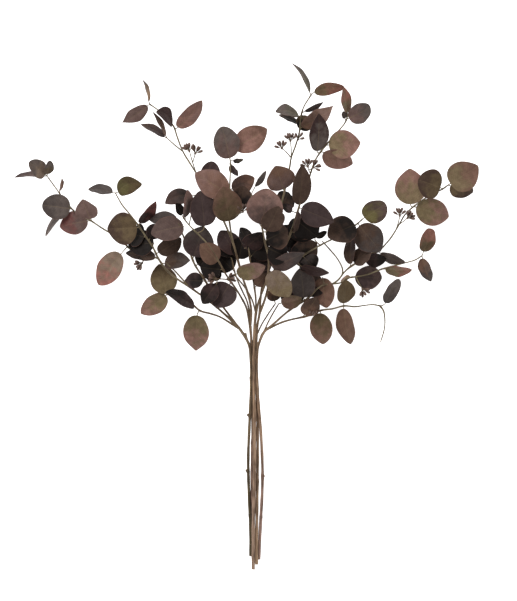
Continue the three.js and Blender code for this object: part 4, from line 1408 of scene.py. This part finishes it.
STEM_RIGHT = LeafyStem(
    name="stem_right",
    twigs=[
        Twig(1.95, 1.65, [
            (14.2, -292, 1.7), (16.2, -250, 7.9), (18.3, -210, 13.6), (18.6, -180, 17.8),
            (16.8, -140, 24.1), (14.6, -112, 28.6), (12.8, -88, 31.3), (11.8, -60, 35.2),
            (12.4, -40, 38), (14.6, -30, 39.5), (19, -19, 41), (25, -12, 41.5),
        ]),
        Twig(1, 0.8, [(17, -24, 40.3), (25, -6, 43), (32, 7, 44.5), (38, 17, 45.5)]),
        Twig(1.4, 1, [
            (22, -15, 41.3), (32, -7, 41), (41, 1, 39.5), (52, 10, 37.5), (66, 19, 35),
            (76, 26, 33), (84, 35, 31.5), (93, 40, 30), (103, 41, 29),
        ]),
        Twig(1.3, 0.8, [
            (22, -15, 41.3), (40, -6, 38), (53, -2, 34.5), (62, 0, 31), (75, 3, 27), (89, 9, 23.5),
            (103, 11, 21), (117, 14.5, 18.5), (130, 13.5, 16.5), (141, 15, 15), (152, 16, 14),
            (161, 14.5, 13),
        ]),
        Twig(1.1, 0.8, [
            (103, 41, 29), (110, 46, 28.5), (117, 55, 28), (125, 62, 27.5), (135, 68, 26.5),
            (148, 77, 25), (158, 80, 24), (168, 90, 23), (175, 99, 22.5), (183, 112, 22),
            (190, 124, 22.5), (198, 132, 23), (210, 141, 24), (221, 148, 25), (235, 155, 26.5),
            (242, 160, 27.5),
        ]),
        Twig(1, 0.8, [
            (103, 41, 29), (113, 42.5, 26.5), (121, 48, 24.5), (140, 51, 21), (155, 56, 18.5),
            (166, 60, 17), (193, 67, 15), (203, 70, 14.5), (211, 75, 14),
        ]),
        Twig(0.7, 0.6, [(179, 105, 22.2), (182, 114, 26), (184, 123, 28)]),
        Twig(0.6, 0.6, [(181.5, 111, 25), (193, 120, 28)]),
        Twig(0.7, 0.6, [(131, 49.6, 22.7), (135, 42, 23), (139, 35, 24)]),
        Twig(0.9, 0.8, [
            (114, 50, 28.2), (115, 59, 29), (109, 71, 30), (100, 82, 31), (90, 93, 32),
        ]),
        Twig(1.1, 0.7, [
            (160, 15, 13), (165, 8, 12), (166.5, -4, 10.5), (165.5, -15, 9), (161, -30, 7),
        ]),
    ],
    leaves=[
        Leaf(123, 63, 127, 102, -7, 20, -48, Tone.UMBER, Tone.MAROON),
        Leaf(127, 63, 150, 83, 4, 26, -40, Tone.UMBER, Tone.UMBER),
        Leaf(140, 70, 168, 71, -2, 22, 40, Tone.MAROON, Tone.PAINTED_SHADE),
        Leaf(161, 78, 191, 67, -6, 18, 50, Tone.GREY, Tone.GREY),
        Leaf(163, 60, 199, 58, 2, 24, 58, Tone.OLIVE, Tone.RUST),
        Leaf(127, 50, 163, 49, -20, 29, 4, Tone.DARK_PLUM, Tone.PLUM),
        Leaf(213, 80, 221, 108, 6, 22, 32, Tone.BROWN_OLIVE, Tone.RUST, 0, 0.3),
        Leaf(212, 75, 222, 44, -12, 20, 42, Tone.BROWN, Tone.DARK_GREY),
        Leaf(197, 137, 196, 180, 6, 39, 6, Tone.LIGHT_OLIVE, Tone.ROSE),
        Leaf(238, 153, 206, 166, 8, 37, 8, Tone.BROWN_OLIVE, Tone.UMBER, 0, 0.5),
        Leaf(202, 133, 244, 122, -24, 33, 6, Tone.OLIVE, Tone.ROSE),
        Leaf(243, 163, 278, 183, 10, 38, 8, Tone.LIGHT_OLIVE, Tone.RED_BROWN),
        Leaf(243, 160, 273, 152, -14, 25, 34, Tone.BROWN_OLIVE, Tone.UMBER),
        Leaf(116, 16, 119, 46, 8, 27, 34, Tone.BROWN_OLIVE, Tone.BROWN_OLIVE),
        Leaf(127, 47, 113, 45, -10, 12, 60, Tone.TAN, Tone.ROSE_GREY),
        Leaf(117, 11, 125, -32, -18, 26, 34, Tone.BROWN, Tone.BROWN),
        Leaf(89, 7, 92, -32, -24, 28, 12, Tone.BROWN_OLIVE, Tone.RED_BROWN),
        Leaf(167, 18, 183, 47, 10, 20, 38, Tone.DARK_GREY, Tone.GREY, -2, 0.4),
        Leaf(91, 48, 96, 12, -8, 27, 14, Tone.BROWN, Tone.RED_BROWN),
        Leaf(68, 22, 64, 60, 8, 31, 10, Tone.DARK_GREY, Tone.DARK_GREY),
        Leaf(40, 19, 66, 24, 4, 24, 46, Tone.BROWN, Tone.BROWN_OLIVE),
        Leaf(50, 12, 54, 44, -13, 30, 20, Tone.PAINTED_SHADE, Tone.PAINTED_SHADE),
        Leaf(72, 24, 84, 54, -15, 32, 14, Tone.PAINTED_SHADE, Tone.UMBER),
        Leaf(67, 2, 84, 25, 8, 24, 26, Tone.BROWN, Tone.UMBER),
    ],
    clusters=[
        Cluster((184, 123, 28), (-0.1, 1, 0.2), 5),
        Cluster((193, 120, 28), (0.7, 0.7, 0.2), 5),
        Cluster((139, 35, 24), (0.5, -0.8, 0.3), 5),
        Cluster((77, 4, 26.6), (0.3, 0.4, 0.6), 5),
    ],
    foot_tone=Tone.ROSY_BARK,
    stubs=[
        Twig(1.4, 1.2, [(11.8, -40, 38), (12.8, -29, 41)]),
        Twig(1.4, 1.2, [(18.6, -193, 16), (20.8, -190, 17)]),
    ],
    bare_nodes=[(18.5, -191, 16.3), (17, -241, 9.4), (12.6, -86, 31.5), (15.2, -120, 27.3)],
)

STEMS = (STEM_LEFT, STEM_UPPER_LEFT, STEM_CENTRE, STEM_UPPER_RIGHT, STEM_RIGHT)


class Lamp(NamedTuple):
    """A soft square lamp that faces the bunch, in metres and watts."""

    name: str
    place: Place
    size: float
    power: float

    def hang(self) -> None:
        """Adds the lamp to the scene."""
        light = bpy.data.lights.new(self.name, "AREA")
        light.size = self.size
        light.energy = self.power
        lamp = bpy.data.objects.new(self.name, light)
        lamp.location = self.place
        lamp.rotation_euler = (-Vector(self.place)).to_track_quat("-Z", "Y").to_euler()
        bpy.context.scene.collection.objects.link(lamp)


@dataclass
class Studio:
    """Pale floor, soft light and a camera that looks straight down."""

    floor_size: float = 12.0
    floor_colour: Colour = (0.95, 0.95, 0.95)
    floor_glow: float = 0.9
    floor_roughness: float = 0.9
    floor_specular: float = 0.1
    sky_colour: Colour = (1.0, 1.0, 1.0)
    sky_strength: float = 0.5
    lamps: tuple[Lamp, ...] = (
        Lamp("key_lamp", (-1.6, 1.8, 2.6), 1.6, 100.0),
        Lamp("fill_lamp", (2.2, -1.2, 2.6), 2.4, 22.0),
    )
    camera_place: Place = (0.0138, 0.021, 6.06)
    lens: float = 300.0

    def lay_floor(self) -> None:
        """Lays the floor, which isn't part of the bunch."""
        half = self.floor_size / 2
        mesh = bpy.data.meshes.new("floor")
        corners = [(-half, -half, 0.0), (half, -half, 0.0), (half, half, 0.0), (-half, half, 0.0)]
        mesh.from_pydata(corners, [], [[0, 1, 2, 3]])
        mesh.materials.append(MaterialGraph("pale_floor").close(
            Base_Color=self.floor_colour,
            Emission_Color=self.floor_colour,
            Emission_Strength=self.floor_glow,
            Roughness=self.floor_roughness,
            Specular_IOR_Level=self.floor_specular,
        ))
        floor = bpy.data.objects.new("floor", mesh)
        bpy.context.scene.collection.objects.link(floor)

    def light_room(self) -> None:
        """Lights the surroundings evenly, with the colours shown as they are."""
        world = bpy.data.worlds.new("pale_room")
        world.use_nodes = True
        graph = Graph(world.node_tree)
        sky = graph.add("ShaderNodeBackground", {"Color": self.sky_colour, "Strength": self.sky_strength})
        graph.add("ShaderNodeOutputWorld", {"Surface": sky.outputs[0]})
        bpy.context.scene.world = world
        bpy.context.scene.view_settings.view_transform = "Standard"

    def place_camera(self) -> None:
        """Places the camera, with its long lens straight above the bunch."""
        data = bpy.data.cameras.new("camera")
        data.lens = self.lens
        camera = bpy.data.objects.new("camera", data)
        camera.location = self.camera_place
        bpy.context.scene.collection.objects.link(camera)
        bpy.context.scene.camera = camera

    def build(self) -> None:
        """Sets up floor, lamps, surroundings and camera."""
        self.lay_floor()
        for lamp in self.lamps:
            lamp.hang()
        self.light_room()
        self.place_camera()


def main() -> None:
    """Builds the bunch and the studio."""
    logging.basicConfig(level=logging.INFO, format="%(name)s: %(message)s")
    mottle = Mottle().group()
    leaf = LeafFinish().material(mottle, Veins().group())
    bark = BarkFinish().material(mottle)
    capsule = CapsuleFinish().material(mottle)
    for stem in STEMS:
        stem.build(leaf, bark, capsule)
    Studio().build()


if __name__ == "__main__":
    main()
